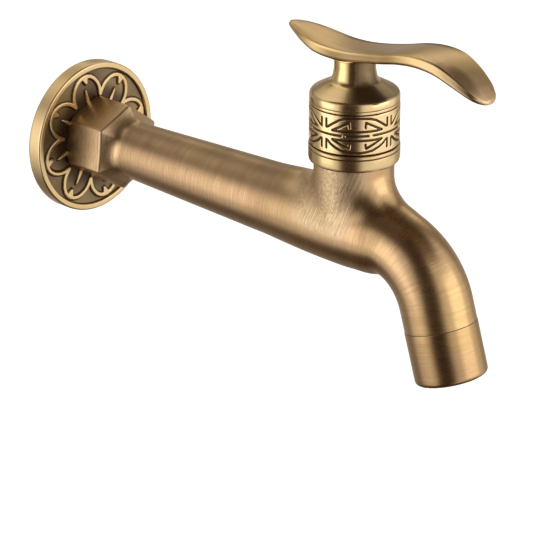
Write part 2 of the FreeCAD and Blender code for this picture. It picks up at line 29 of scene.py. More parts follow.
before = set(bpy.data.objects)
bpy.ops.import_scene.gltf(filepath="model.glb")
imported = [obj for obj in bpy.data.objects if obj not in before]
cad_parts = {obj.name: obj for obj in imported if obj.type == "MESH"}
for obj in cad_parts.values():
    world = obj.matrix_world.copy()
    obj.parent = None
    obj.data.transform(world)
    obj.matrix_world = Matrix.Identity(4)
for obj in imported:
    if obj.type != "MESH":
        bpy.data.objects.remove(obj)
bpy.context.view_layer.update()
print("frame loaded")


def sinOf(degrees):
    return math.sin(math.radians(degrees))


def cosOf(degrees):
    return math.cos(math.radians(degrees))


def wayTo(azimuth, elevation):
    # azimuth is measured from straight out of the wall towards +X
    return Vector((sinOf(azimuth) * cosOf(elevation), -cosOf(azimuth) * cosOf(elevation), sinOf(elevation)))


def addObject(name, data):
    made = bpy.data.objects.new(name, data)
    bpy.context.scene.collection.objects.link(made)
    return made


cameraLook = {"azimuth": -46.74, "elevation": 23.78, "roll": -0.30, "distance": 0.85785, "lens": 153.139,
              "sensor": 36.0, "middle": (0.0, -0.080, 0.0), "across": 0.014334, "above": -0.032372}


def setCamera(look):
    back = wayTo(look["azimuth"], look["elevation"])
    level = Vector((cosOf(look["azimuth"]), sinOf(look["azimuth"]), 0.0))
    upright = back.cross(level)
    right = cosOf(look["roll"]) * level + sinOf(look["roll"]) * upright
    up = cosOf(look["roll"]) * upright - sinOf(look["roll"]) * level
    target = Vector(look["middle"]) + look["across"] * right + look["above"] * up
    camera = addObject("photoCamera", bpy.data.cameras.new("photoCamera"))
    camera.data.lens, camera.data.sensor_width = look["lens"], look["sensor"]
    turn = Matrix((right, up, back)).transposed().to_4x4()
    camera.matrix_world = Matrix.Translation(target + look["distance"] * back) @ turn
    bpy.context.scene.camera = camera


setCamera(cameraLook)


# Nodes and finishes

def feed(tree, sockets, values):
    # each value is a number, a colour or another node's output
    for name, value in values.items():
        socket = sockets[name]
        if isinstance(value, bpy.types.NodeSocket):
            tree.links.new(value, socket)
        else:
            socket.default_value = (*value, 1.0) if socket.type == "RGBA" else value


def addNode(tree, kind, inputs={}, **settings):
    node = tree.nodes.new("ShaderNode" + kind)
    for key, value in settings.items():
        setattr(node, key, value)
    feed(tree, node.inputs, inputs)
    return node.outputs


def addGroup(tree, group, **values):
    # every socket of the group gets the value of its own name
    outputs = addNode(tree, "Group", node_tree=group)
    inputs = tree.nodes[-1].inputs
    feed(tree, inputs, {socket.name: values[socket.name] for socket in inputs})
    return outputs


def calc(tree, operation, *values):
    return addNode(tree, "Math", dict(enumerate(values)), operation=operation)[0]


def times(tree, first, second):
    return calc(tree, "MULTIPLY", first, second)


def softRamp(tree, value, low, high):
    return addNode(tree, "MapRange", {0: value, "From Min": low, "From Max": high},
                   interpolation_type="SMOOTHSTEP")[0]


def noiseOf(tree, place, scale, detail, roughness=0.5):
    return addNode(tree, "TexNoise", {"Vector": place, "Scale": scale, "Detail": detail,
                                      "Roughness": roughness})[0]


def mixColours(tree, share, first, second):
    return addNode(tree, "Mix", {0: share, 6: first, 7: second}, data_type="RGBA")[2]


def attributeOf(tree, name):
    return addNode(tree, "Attribute", attribute_name=name)["Fac"]


def objectPlace(tree):
    return addNode(tree, "TexCoord")["Object"]


def newGroup(name, inputs, outputs):
    group = bpy.data.node_groups.new(name, "ShaderNodeTree")
    for side, sockets in (("INPUT", inputs), ("OUTPUT", outputs)):
        for kind, labels in sockets.items():
            for label in labels:
                group.interface.new_socket(name=label, in_out=side, socket_type="NodeSocket" + kind)
    return group, group.nodes.new("NodeGroupInput").outputs, group.nodes.new("NodeGroupOutput").inputs


def newMaterial(name):
    material = bpy.data.materials.new(name)
    material.use_nodes = True
    return material, material.node_tree, material.node_tree.nodes["Principled BSDF"].inputs


strokeLook = {"roughness": 0.62, "uprightStretch": 0.4,
              "noises": {"coarse": (1.0, 5.0), "fine": (3.1, 3.0)}}    # scale and detail


def strokeGroup(look=strokeLook):
    # brush strokes: rings round the tube or turned piece, and leaning strokes up the tower's neck
    tree, entry, leave = newGroup("brushStrokes", {"Float": ("linesPerMm", "stretch", "slant")},
                                  {"Float": ("coarse", "fine", "upright")})
    split = addNode(tree, "SeparateXYZ", {0: objectPlace(tree)})
    neck = attributeOf(tree, "neck")
    perMetre = times(tree, entry["linesPerMm"], 1000.0)
    lean = times(tree, split[2], entry["slant"])
    along = [times(tree, split[k], entry["stretch"]) for k in (0, 2)]
    rings = [times(tree, attributeOf(tree, "grain"), entry["linesPerMm"]), *along]
    upright = [times(tree, perMetre, calc(tree, operation, split[k], lean))
               for k, operation in enumerate(("SUBTRACT", "ADD"))]
    upright.append(times(tree, along[1], look["uprightStretch"]))
    places = [addNode(tree, "CombineXYZ", dict(enumerate(ways)))[0] for ways in (rings, upright)]
    for output, (scale, detail) in look["noises"].items():
        first, second = (noiseOf(tree, place, scale, detail, look["roughness"]) for place in places)
        feed(tree, leave, {output: addNode(tree, "Mix", {0: neck, 2: first, 3: second})[0]})
    feed(tree, leave, {"upright": neck})
    return tree


patinaShadeLook = {"cloud": (55.0, 4.0), "broad": (26.0, 3.0), "golden": (0.4, 0.68), "strokeGain": 2.0,
            "uneven": 0.3, "cleanUnshaded": (0.25, 0.8)}


def patinaShadeGroup(look=patinaShadeLook):
    # dark patina in recesses and painted shade where the mask is lowered, slow mottling over the skin
    tree, entry, leave = newGroup("brassPatinaAndShade", {
        "Color": ("skin", "shade", "patina", "gold"),
        "Float": ("strokes", "mottling", "strokeShare", "goldShare")},
        {"Color": ["colour"], "Float": ["patinaAndShade"]})
    place = objectPlace(tree)
    cloud = noiseOf(tree, place, *look["cloud"])
    sharper = calc(tree, "SUBTRACT", times(tree, entry["strokes"], look["strokeGain"]),
                   (look["strokeGain"] - 1) / 2)
    shadeShare = calc(tree, "ADD", times(tree, cloud, entry["mottling"]),
                      times(tree, sharper, entry["strokeShare"]))
    skin = mixColours(tree, shadeShare, entry["skin"], entry["shade"])
    golden = softRamp(tree, noiseOf(tree, place, *look["broad"]), *look["golden"])
    warm = mixColours(tree, times(tree, golden, entry["goldShare"]), skin, entry["gold"])
    uneven = calc(tree, "SUBTRACT", times(tree, cloud, look["uneven"]), look["uneven"] / 2)
    mask = softRamp(tree, calc(tree, "ADD", attributeOf(tree, "bareUnshaded"), uneven), *look["cleanUnshaded"])
    feed(tree, leave, {"colour": mixColours(tree, mask, entry["patina"], warm),
                       "patinaAndShade": calc(tree, "SUBTRACT", 1.0, mask)})
    return tree


strokes = strokeGroup()
brassPatinaAndShade = patinaShadeGroup()


def brassFinish(name, look):
    material, tree, shader = newMaterial(name)
    brushed = addGroup(tree, strokes, **look)
    darkening = addGroup(tree, brassPatinaAndShade, strokes=brushed["coarse"], **look)
    # paler colour along the upright strokes: pale brushed metal and a painted sheen standing in for the
    # neck's blurred reflections
    streak = times(tree, softRamp(tree, brushed["fine"], *look["streak"]), look["paleSheenShare"])
    pale = times(tree, brushed["upright"], streak)
    dull, spread = look["roughness"], look["roughSpread"]
    rough = addNode(tree, "MapRange", {
        0: brushed["coarse"], "To Min": dull - spread, "To Max": dull + spread})[0]
    rough = calc(tree, "MULTIPLY_ADD", brushed["upright"], look["neckDull"], rough)
    both = calc(tree, "ADD", brushed["coarse"], brushed["fine"])
    deeper = calc(tree, "ADD", times(tree, brushed["upright"], look["neckDepth"]), 1.0)
    bump = addNode(tree, "Bump", {"Strength": look["bump"], "Distance": look["bumpHeight"],
                                  "Height": times(tree, both, deeper)})[0]
    feed(tree, shader, {
        "Base Color": mixColours(tree, pale, darkening["colour"], look["neckPaleSheen"]),
        "Roughness": calc(tree, "MULTIPLY_ADD", darkening["patinaAndShade"], look["patinaShadeDull"], rough),
        "Normal": bump, "Metallic": 1.0, "Specular Tint": look["edgeTint"],
        "Coat Weight": look["coat"], "Coat Roughness": look["coatRoughness"]})
    return material


brushedLook = {
    "skin": (0.55, 0.368, 0.202), "shade": (0.37, 0.215, 0.10), "patina": (0.05, 0.027, 0.015),
    "gold": (0.46, 0.31, 0.09), "goldShare": 0.4, "mottling": 0.22, "strokeShare": 0.7,
    "roughness": 0.28, "roughSpread": 0.08, "patinaShadeDull": 0.25, "bump": 0.45, "bumpHeight": 0.00006,
    "edgeTint": (0.95, 0.85, 0.72), "coat": 0.25, "coatRoughness": 0.22,
    "linesPerMm": 1.0, "stretch": 70.0, "slant": 0.3, "neckDull": 0.18, "neckDepth": 2.6,
    # the neck's paler colour is partly a painted sheen
    "neckPaleSheen": (0.84, 0.65, 0.42), "paleSheenShare": 0.75, "streak": (0.34, 0.66)}
# what each finish changes of it
finishLooks = {
    "brushedBody": {},
    "brushedNozzle": {"skin": (0.42, 0.262, 0.142), "shade": (0.32, 0.185, 0.095)},
    "turnedTower": {
        "skin": (0.69, 0.51, 0.27), "shade": (0.50, 0.33, 0.15), "patina": (0.075, 0.043, 0.022),
        "gold": (0.60, 0.42, 0.13), "bump": 0.18, "strokeShare": 0.35, "roughness": 0.24},
    # the band's brass is a brighter copy of the tower's: painted light standing in for the band's brighter
    # reflections
    "litCarvedBand": {
        "skin": (0.86, 0.645, 0.35), "shade": (0.64, 0.44, 0.21), "patina": (0.12, 0.07, 0.032),
        "gold": (0.74, 0.53, 0.18), "bump": 0.18, "strokeShare": 0.35, "roughness": 0.2,
        "roughSpread": 0.05},
    "turnedCap": {
        "skin": (0.80, 0.595, 0.315), "shade": (0.58, 0.39, 0.18), "patina": (0.06, 0.034, 0.018),
        "gold": (0.66, 0.46, 0.13), "goldShare": 0.6, "bump": 0.18, "strokeShare": 0.35,
        "roughness": 0.22},
    "castPlate": {
        "skin": (0.68, 0.50, 0.26), "shade": (0.52, 0.35, 0.16), "patina": (0.065, 0.038, 0.02),
        "gold": (0.62, 0.43, 0.15), "bump": 0.15, "roughness": 0.3, "strokeShare": 0.2},
    "satinLever": {
        "skin": (0.58, 0.41, 0.235), "shade": (0.44, 0.28, 0.135), "patina": (0.13, 0.075, 0.025),
        "gold": (0.50, 0.34, 0.10), "goldShare": 0.6, "bump": 0.4, "mottling": 0.4,
        "strokeShare": 0.5, "roughness": 0.30}}
finishes = {name: brassFinish(name, {**brushedLook, **look}) for name, look in finishLooks.items()}
print("finishes made")


# Shared mesh helpers

mergeGap = 0.0004
wholeTurn = 2 * math.pi
outOfWall = Matrix.Rotation(math.radians(90), 4, "X")     # local +Z leaves the wall
towerOut = 140.4
onTower = Matrix.Translation((0, -towerOut, 0))


def pieceLayers(bm):
    # grain runs across the brush strokes in mm; the second layer is 1 on the bare skin and falls towards 0
    # with patina in a recess and where shade is painted in;
    # neck is 1 where the strokes go up the tower and a pale painted sheen goes with them
    layers = bm.verts.layers.float
    return [layers.get(name) or layers.new(name) for name in ("grain", "bareUnshaded", "neck")]


def merge(bm, gap=mergeGap):
    bmesh.ops.remove_doubles(bm, verts=bm.verts, dist=gap)


def move(bm, matrix):
    bmesh.ops.transform(bm, matrix=matrix, verts=bm.verts)
    return bm


def meshOf(bm, name):
    mesh = bpy.data.meshes.new(name)
    bm.to_mesh(mesh)
    bm.free()
    return mesh


def joinMesh(bm, other):
    spare = meshOf(other, "spare")
    bm.from_mesh(spare)
    bpy.data.meshes.remove(spare)


def openEdges(bm):
    return [edge for edge in bm.edges if edge.is_boundary]


def finishPiece(name, bm, body, node, finish, sharp=32.0):
    merge(bm)
    bmesh.ops.recalc_face_normals(bm, faces=bm.faces)
    bmesh.ops.scale(bm, vec=(0.001, 0.001, 0.001), verts=bm.verts)
    mesh = meshOf(bm, name)
    mesh.shade_smooth()
    mesh.set_sharp_from_angle(angle=math.radians(sharp))
    mesh.materials.append(finishes[finish])
    piece = addObject(name, mesh)
    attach(piece, body)
    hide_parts(node)
    print("piece", name, len(mesh.polygons))


def ringGrid(columns, rows, place):
    # a flat grid rolled into a tube: place gives a point, its grain and its relief
    bm = bmesh.new()
    bmesh.ops.create_grid(bm, x_segments=columns, y_segments=rows - 1, size=0.5)
    grain, bareUnshaded, neck = pieceLayers(bm)
    for vert in bm.verts:
        column = round((vert.co.x + 0.5) * columns) % columns
        row = round((vert.co.y + 0.5) * (rows - 1))
        vert.co, vert[grain], vert[bareUnshaded] = place(column, row)
    merge(bm)
    return bm


def turnedShape(corners, segments=180):
    # outline corners are radius, height and the length that a rounding takes from each side
    bm = bmesh.new()
    verts = [bm.verts.new((corner[0], 0.0, corner[1])) for corner in corners]
    bm.faces.new(verts)
    for corner, vert in zip(corners, verts):
        if len(corner) > 2:
            bmesh.ops.bevel(bm, geom=[vert], offset=corner[2], offset_type="OFFSET", segments=6,
                            profile=0.5, affect="VERTICES", clamp_overlap=False, material=-1)
    bmesh.ops.delete(bm, geom=bm.faces[:], context="FACES_ONLY")
    bmesh.ops.spin(bm, geom=bm.verts[:] + bm.edges[:], cent=(0, 0, 0), axis=(0, 0, 1), dvec=(0, 0, 0),
                   angle=wholeTurn, steps=segments, use_merge=True)
    merge(bm)
    bmesh.ops.recalc_face_normals(bm, faces=bm.faces)
    grain, bareUnshaded, neck = pieceLayers(bm)
    for vert in bm.verts:
        vert[grain], vert[bareUnshaded] = vert.co.z, 1.0
    return bm


def smoothStep(low, high, value):
    share = min(max((value - low) / (high - low), 0.0), 1.0)
    return share * share * (3 - 2 * share)


def between(value, low, full, fading, end):
    # rises from low to full and falls again from fading to end
    return smoothStep(low, full, value) * (1 - smoothStep(fading, end, value))


def softMin(first, second, soft):
    near = max(soft - abs(first - second), 0.0) / soft
    return min(first, second) - near * near * soft / 4


def segmentDistance(px, py, ax, ay, bx, by):
    dx, dy = bx - ax, by - ay
    share = ((px - ax) * dx + (py - ay) * dy) / (dx * dx + dy * dy)
    share = min(max(share, 0.0), 1.0)
    return math.hypot(px - ax - share * dx, py - ay - share * dy), share


def lineDistance(px, py, lines):
    return min(segmentDistance(px, py, *a, *b)[0] for line in lines for a, b in zip(line, line[1:]))


def polar(radius, turn, height):
    return Vector((radius * cosOf(turn), radius * sinOf(turn), height))


def spaced(low, high, count):
    return [low + (high - low) * i / count for i in range(count + 1)]


def arc(middle, height, across, up, turns):
    # outline points round a corner, turned from straight up towards larger radii
    return [(middle + across * sinOf(turn), height + up * cosOf(turn)) for turn in turns]


def knotSpan(knots, where):
    # which two knots a place lies between, their distance and the share of it
    index = 0
    while index < len(knots) - 2 and where > knots[index + 1][0]:
        index += 1
    span = knots[index + 1][0] - knots[index][0]
    return index, span, (where - knots[index][0]) / span


def cubic(low, high, leave, enter, share):
    return (2 * low - 2 * high + leave + enter) * share ** 3 \
        + (3 * high - 3 * low - 2 * leave - enter) * share ** 2 + leave * share + low


def hermite(knots, where):
    # smooth curve through rows of numbers whose first entry is the position
    index, span, share = knotSpan(knots, where)
    before, after = knots[max(index - 1, 0)], knots[min(index + 2, len(knots) - 1)]
    low, high = knots[index:index + 2]
    leave = [(high[k] - before[k]) / (high[0] - before[0]) * span for k in range(len(low))]
    enter = [(after[k] - low[k]) / (after[0] - low[0]) * span for k in range(len(low))]
    return [cubic(low[k], high[k], leave[k], enter[k], share) for k in range(1, len(low))]


# Tap body: tapered tube, belly, tower neck and bent spout

hornShape = {
    "tubeRootRadius": 11.15, "tubeRootOut": 30.9, "tubeEndOut": 100.0, "tubeEndRadius": 13.3,
    "riseAngle": 0.9, "riseLength": 44.3, "sagRadius": 42.0, "sagTurn": 6.0, "throatLength": 7.8,
    "bendRadius": 26.2, "spoutTilt": 17.0, "spoutStraight": 7.9, "seamRadius": 13.0,
    "belly": [(14.4, 14.25), (28.4, 15.05), (42.9, 15.4), (51.9, 14.75)],
    "throat": (15.0, 12.75), "neckRadius": 14.3, "neckTop": 26.1, "neckFillet": 10.0,
    "patchReach": 24.0, "patchAngle": 78.0, "columnsOver": 32, "columnsUnder": 40,
    "tubeRows": 60, "spoutRows": 44, "filletRings": 16, "neckRings": 8, "seamGap": 0.15, "evenSteps": 14,
    # the top of the tube and of the flare is painted darker: painted shade for the dark reflection along the
    # top
    "topShade": 0.42, "shadeHigh": (0.25, 0.75), "shadeAway": (17, 30), "neckAway": (16, 27),
    "neckFront": (0.76, 0.95), "liftFront": (0.42, 0.75), "lift": (1, 16)}


def hornParts(shape):
    # length and radius of each part of the centre line past the straight tube
    sag = math.radians(shape["sagTurn"])
    bend = math.radians(90 - shape["spoutTilt"] + shape["riseAngle"] - shape["sagTurn"])
    return [(shape["riseLength"], 0.0), (shape["sagRadius"] * sag, shape["sagRadius"]),
            (shape["throatLength"], 0.0), (shape["bendRadius"] * bend, shape["bendRadius"]),
            (shape["spoutStraight"] + 1.0, 0.0)]


hornLegs = hornParts(hornShape)
bendStart = sum(length for length, radius in hornLegs[:3])
bendEnd = bendStart + hornLegs[3][0]
seamRun = bendEnd + hornShape["spoutStraight"]
towerRun = towerOut - hornShape["tubeEndOut"]


def hornLine(run, shape=hornShape):
    # out, height and heading in radians of the centre line, run mm past the straight tube
    if run < 0:
        return shape["tubeEndOut"] + run, 0.0, 0.0
    out, height, heading = shape["tubeEndOut"], 0.0, -math.radians(shape["riseAngle"])
    for length, radius in hornLegs:
        part = min(run, length)
        if radius:
            turn = part / radius
            out += radius * (math.sin(heading + turn) - math.sin(heading))
            height -= radius * (math.cos(heading) - math.cos(heading + turn))
            heading += turn
        else:
            out += part * math.cos(heading)
            height -= part * math.sin(heading)
        run -= part
        if run <= 0:
            break
    return out, height, heading


def wayAlong(heading):
    return Vector((0, -math.cos(heading), -math.sin(heading)))


seamOut, seamHeight, seamHeading = hornLine(seamRun)
seamMiddle = Vector((0, -seamOut, seamHeight))
rootMiddle = Vector((0, -hornShape["tubeRootOut"], 0))
neckMiddle = Vector((0, -towerOut, hornShape["neckTop"]))


def hornKnots(shape):
    # runs, radii and slopes that the skin's outline passes through
    throatRun = bendStart + shape["bendRadius"] * math.radians(shape["throat"][0])
    knots = [(0.0, shape["tubeEndRadius"]), *shape["belly"], (throatRun, shape["throat"][1]),
             (bendEnd, shape["seamRadius"]), (seamRun, shape["seamRadius"])]
    tubeLength = shape["tubeEndOut"] - shape["tubeRootOut"]
    slopes = [(shape["tubeEndRadius"] - shape["tubeRootRadius"]) / tubeLength]
    for before, here, after in zip(knots, knots[1:], knots[2:]):
        first = (here[1] - before[1]) / (here[0] - before[0])
        second = (after[1] - here[1]) / (after[0] - here[0])
        slopes.append(2 * first * second / (first + second) if first * second > 0 else 0.0)
    return knots, slopes + [0.0]


skinKnots, skinSlopes = hornKnots(hornShape)


def hornRadius(run):
    if run < 0:
        return hornShape["tubeEndRadius"] + skinSlopes[0] * run
    index, span, share = knotSpan(skinKnots, run)
    low, high = (radius for where, radius in skinKnots[index:index + 2])
    return cubic(low, high, skinSlopes[index] * span, skinSlopes[index + 1] * span, min(share, 1.0))


def hornPoint(run, angle):
    # angle is measured from the top of the horn towards +X
    out, height, heading = hornLine(run)
    radius = hornRadius(run)
    lift = radius * math.cos(angle)
    return Vector((radius * math.sin(angle), -out - lift * math.sin(heading),
                   height + lift * math.cos(heading)))


def onBody(point, run, shape=hornShape, steps=14):
    # slides a point onto the skin, with a rolling ball fillet between the horn and the tower's neck
    ball = shape["neckFillet"]
    for step in range(steps):
        out, height, heading = hornLine(run)
        along = wayAlong(heading)
        away = point - Vector((0, -out, height))
        run += away.dot(along)
        away -= along * away.dot(along)
        hornGap, hornNormal = away.length - hornRadius(run), away.normalized()
        neckWay = Vector((point.x, point.y + towerOut, 0))
        neckGap = neckWay.length - shape["neckRadius"] if point.z > 0 else 1000.0
        neckNormal = neckWay.normalized()
        closeness = hornNormal.dot(neckNormal)
        scale = 1 - closeness * closeness
        gap, normal = (hornGap, hornNormal) if hornGap < neckGap else (neckGap, neckNormal)
        if scale > 1e-6:
            first = ((ball - hornGap) - closeness * (ball - neckGap)) / scale
            second = ((ball - neckGap) - closeness * (ball - hornGap)) / scale
            if first > 0 and second > 0:
                centre = hornNormal * first + neckNormal * second
                gap, normal = ball - centre.length, centre.normalized()
        point = point - gap * normal
    return point, run


hexShape = {
    "cornerRadius": 16.8, "turn": -7.3, "seat": 4.9, "rear": 8.0, "rearRadius": 14.7, "front": 23.2,
    "flareEnd": 30.0, "flarePower": 0.57, "flareSlope": 1.0, "softEdge": 0.75, "frontEdge": 0.6,
    "reliefRadius": 9.6, "upright": 0.6, "seatRadii": (10.0, 11.5, 13.0, 14.2), "edgeBand": 0.9,
    "columnTurns": (0.0, 0.5, 1.2, 2.1, 3.3, 5.0, 8.0, 12.0, 17.0, 23.0)}


def makeHexagon(shape=hexShape, horn=hornShape):
    # spanner flats on a turned blank that flow into the tube; columns crowd at the corners
    flat = shape["cornerRadius"] * cosOf(30)
    out, root, end = shape["cornerRadius"] + 0.4, horn["tubeRootRadius"], horn["tubeRootOut"]
    front, band, seat = shape["front"], shape["edgeBand"], shape["seat"]
    rear, rearRadius = shape["rear"], shape["rearRadius"]
    blank = [(radius, seat) for radius in shape["seatRadii"]]
    blank += arc(rearRadius, rear, out - rearRadius, seat - rear, range(0, 91, 6))
    blank += [(out, height) for height in spaced(rear + 1.0, front - band, 12)[:-1]
              + spaced(front - band, front + band, 12)[:-1] + spaced(front + band, end, 36)]
    spread = shape["columnTurns"]
    offsets = [-30.0] + [-turn for turn in reversed(spread[1:])] + list(spread)
    turns = [90 + shape["turn"] + 60 * k + offset for k in range(6) for offset in offsets]

    def place(column, row):
        radius, height = blank[row]
        turn = turns[column]
        away = (turn - 90 - shape["turn"] + 30) % 60 - 30
        reach = radius
        if row > 3:
            flats = softMin(flat / cosOf(30 - abs(away)), flat / cosOf(30 + abs(away)), shape["softEdge"])
            reach = softMin(flats, radius, shape["softEdge"])
        if height > front - 1.0:
            share = min(max(height - front, 0.0) / (shape["flareEnd"] - front), 1.0)
            drop = (reach - root) * smoothStep(0, 1, share ** shape["flarePower"])
            drop -= shape["flareSlope"] * max(front - height, 0.0)
            soft = shape["frontEdge"] * (1 - smoothStep(0.1, 0.3, share)) + 0.001
            reach = softMin(reach, reach - drop, soft)
        # the flare's top is painted darker: painted shade for the dark reflection along the top
        darkening = horn["topShade"] * smoothStep(*horn["shadeHigh"], sinOf(turn))
        darkening *= smoothStep(front + 1.0, end, height)
        return polar(reach, turn, height), -height, 1.0 - darkening

    hexagon = ringGrid(len(turns), len(blank), place)
    # upright strokes and their pale painted sheen on the flats, fading out along the flare
    neck = hexagon.verts.layers.float["neck"]
    for vert in hexagon.verts:
        vert[neck] = shape["upright"] * (1 - smoothStep(front + 2.0, end, vert.co.z))
    return move(hexagon, outOfWall)


keptShape = {"probe": (0, -75.0, 13.0), "shankEnd": -1.01, "shankRadius": 9.25}


def keptFromCad(shape=hornShape, kept=keptShape):
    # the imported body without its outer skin: shank, collar, spigot and waterway stay
    bm = bmesh.new()
    bm.from_mesh(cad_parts["tap_body"].data)
    bmesh.ops.scale(bm, vec=(1000, 1000, 1000), verts=bm.verts)
    merge(bm)
    rings = [(rootMiddle, Vector((0, -1, 0)), shape["tubeRootRadius"]),
             (neckMiddle, Vector((0, 0, 1)), shape["neckRadius"]),
             (seamMiddle, wayAlong(seamHeading), shape["seamRadius"])]

    def onRing(vert):
        return any(abs((vert.co - middle).dot(axis)) < 0.01
                   and abs((vert.co - middle).length - radius) < 0.02 for middle, axis, radius in rings)

    ringVerts = {vert for vert in bm.verts if onRing(vert)}
    probe = Vector(kept["probe"])
    start = min(bm.faces, key=lambda face: (face.calc_center_median() - probe).length)
    skin, waiting = {start}, [start]
    while waiting:
        for edge in waiting.pop().edges:
            if ringVerts.issuperset(edge.verts):
                continue
            fresh = set(edge.link_faces) - skin
            skin |= fresh
            waiting += fresh
    skin.update(face for face in bm.faces if all(
        -shape["tubeRootOut"] - 0.1 < vert.co.y < 0.05 - hexShape["seat"]
        and math.hypot(vert.co.x, vert.co.z) > hexShape["reliefRadius"] - 0.05 for vert in face.verts))
    bmesh.ops.delete(bm, geom=list(skin), context="FACES")
    for vert in bm.verts:
        across = math.hypot(vert.co.x, vert.co.z)
        if vert.co.y > kept["shankEnd"] and across > kept["shankRadius"]:
            vert.co.x *= kept["shankRadius"] / across
            vert.co.z *= kept["shankRadius"] / across
    return bm


def makeBody(shape=hornShape):
    over, under, tubeRows = shape["columnsOver"], shape["columnsUnder"], shape["tubeRows"]
    edgeAngle = math.radians(shape["patchAngle"])
    angles = spaced(-edgeAngle, edgeAngle, over)[:-1] + spaced(edgeAngle, wholeTurn - edgeAngle, under)[:-1]
    first, last = towerRun - shape["patchReach"], towerRun + shape["patchReach"]
    rootRun = shape["tubeRootOut"] - shape["tubeEndOut"]
    runs = spaced(rootRun + 0.6, first, tubeRows)[:-1] + spaced(first, last, over)[:-1] \
        + spaced(last, seamRun - shape["seamGap"], shape["spoutRows"])
    columns, rows = over + under, len(runs) - 1
    bm = bmesh.new()
    bmesh.ops.create_grid(bm, x_segments=columns, y_segments=rows, size=0.5)
    grain, bareUnshaded, neck = pieceLayers(bm)

    def inOpening(face):
        middle = face.calc_center_median()
        return (middle.x + 0.5) * columns < over and tubeRows < (middle.y + 0.5) * rows < tubeRows + over

    bmesh.ops.delete(bm, geom=[face for face in bm.faces if inOpening(face)], context="FACES")
    for vert in bm.verts:
        column = round((vert.co.x + 0.5) * columns) % columns
        run = runs[round((vert.co.y + 0.5) * rows)]
        vert.co, vert[grain] = onBody(hornPoint(run, angles[column]), run)
        vert[bareUnshaded] = 1.0
    merge(bm)

    # rings from the edge of the opening up the fillet and the neck
    tower = Vector((0, -towerOut, 0))
    edges = [edge for edge in openEdges(bm)
             if -170 < edge.verts[0].co.y < -60 and edge.verts[0].co.z > -15]
    origin = bm.verts.layers.float_vector.new("start")
    for vert in bm.verts:
        vert[origin] = vert.co
    filletRings, neckRings = shape["filletRings"], shape["neckRings"]
    topZ = shape["neckTop"] - shape["seamGap"]
    for ring in range(1, filletRings + neckRings + 1):
        made = bmesh.ops.extrude_edge_only(bm, edges=edges)["geom"]
        fresh = {item for item in made if isinstance(item, bmesh.types.BMVert)}
        edges = [item for item in made
                 if isinstance(item, bmesh.types.BMEdge) and fresh.issuperset(item.verts)]
        for vert in fresh:
            start = Vector(vert[origin])
            way = Vector((start.x, start.y + towerOut, 0))
            foot = tower + way.normalized() * shape["neckRadius"]
            foot.z = start.z + 0.55 * shape["neckFillet"] + 2.0
            share = min(ring / filletRings, 1.0) * math.pi / 2
            point = foot.lerp(Vector((start.x, start.y, foot.z)), 1 - math.sin(share))
            point.z = start.z + (foot.z - start.z) * (1 - math.cos(share))
            if ring > filletRings:
                point.z = foot.z + (topZ - foot.z) * (ring - filletRings) / neckRings
            vert.co, vert[grain] = onBody(point, -point.y - shape["tubeEndOut"])
    bm.verts.layers.float_vector.remove(origin)

    # even out the patch round the neck, sliding every point back onto the skin
    patch = [vert for vert in bm.verts if not vert.is_boundary and vert.co.z > -4
             and math.hypot(vert.co.x, vert.co.y + towerOut) < shape["patchReach"] + 7]
    for step in range(shape["evenSteps"]):
        bmesh.ops.smooth_vert(bm, verts=patch, factor=0.5, use_axis_x=True, use_axis_y=True,
                              use_axis_z=True)
        for vert in patch:
            vert.co, vert[grain] = onBody(vert.co, vert[grain], steps=4)
    for vert in bm.verts:
        fromTower = math.hypot(vert.co.x, vert.co.y + towerOut)
        facingOut = -(vert.co.y + towerOut) / max(fromTower, 0.01)
        lowest = shape["lift"][0] + shape["lift"][1] * smoothStep(*shape["liftFront"], facingOut)
        # the tube's top, away from the tower, is painted darker: painted shade for the dark reflection along
        # its top
        if fromTower > shape["neckRadius"] and vert.co.y > -towerOut:
            high = vert.co.z / hornRadius(vert[grain])
            vert[bareUnshaded] = 1 - shape["topShade"] * smoothStep(*shape["shadeHigh"], high) \
                * smoothStep(*shape["shadeAway"], fromTower)
        vert[neck] = smoothStep(lowest - 5, lowest + 5, vert.co.z) \
            * (1 - smoothStep(*shape["neckAway"], fromTower)) \
            * (1 - smoothStep(*shape["neckFront"], facingOut))

    joinMesh(bm, makeHexagon())
    joinMesh(bm, keptFromCad())
    for vert in bm.verts:
        if vert[bareUnshaded] == 0.0:
            vert[grain], vert[bareUnshaded] = -vert.co.y - shape["tubeEndOut"], 1.0
    rims = openEdges(bm)
    for middle in (rootMiddle, neckMiddle, seamMiddle, Vector((0, -hexShape["seat"], 0))):
        near = [edge for edge in rims if (edge.verts[0].co - middle).length < 16.0]
        bmesh.ops.bridge_loops(bm, edges=near)
    return bm


body = makeBody()
print("body open edges", len(openEdges(body)))
finishPiece("castBody", body, "tap", "tap_body", "brushedBody")


# Inlet thread: one pitch of the thread's outline is screwed round the shank

threadSize = {
    "pitch": 1.814, "root": 9.316, "crest": 10.478, "inner": 9.1, "start": -15.9, "end": 0.95,
    "leadIn": 1.2, "stepsPerTurn": 96, "rootAged": 0.7,
    "flank": [(0.0, 0.0), (0.05, 0.02), (0.15, 0.2), (0.35, 0.8), (0.44, 0.975), (0.5, 1.0)]}


def setRadius(vert, radius):
    share = radius / math.hypot(vert.co.x, vert.co.y)
    vert.co.x *= share
    vert.co.y *= share


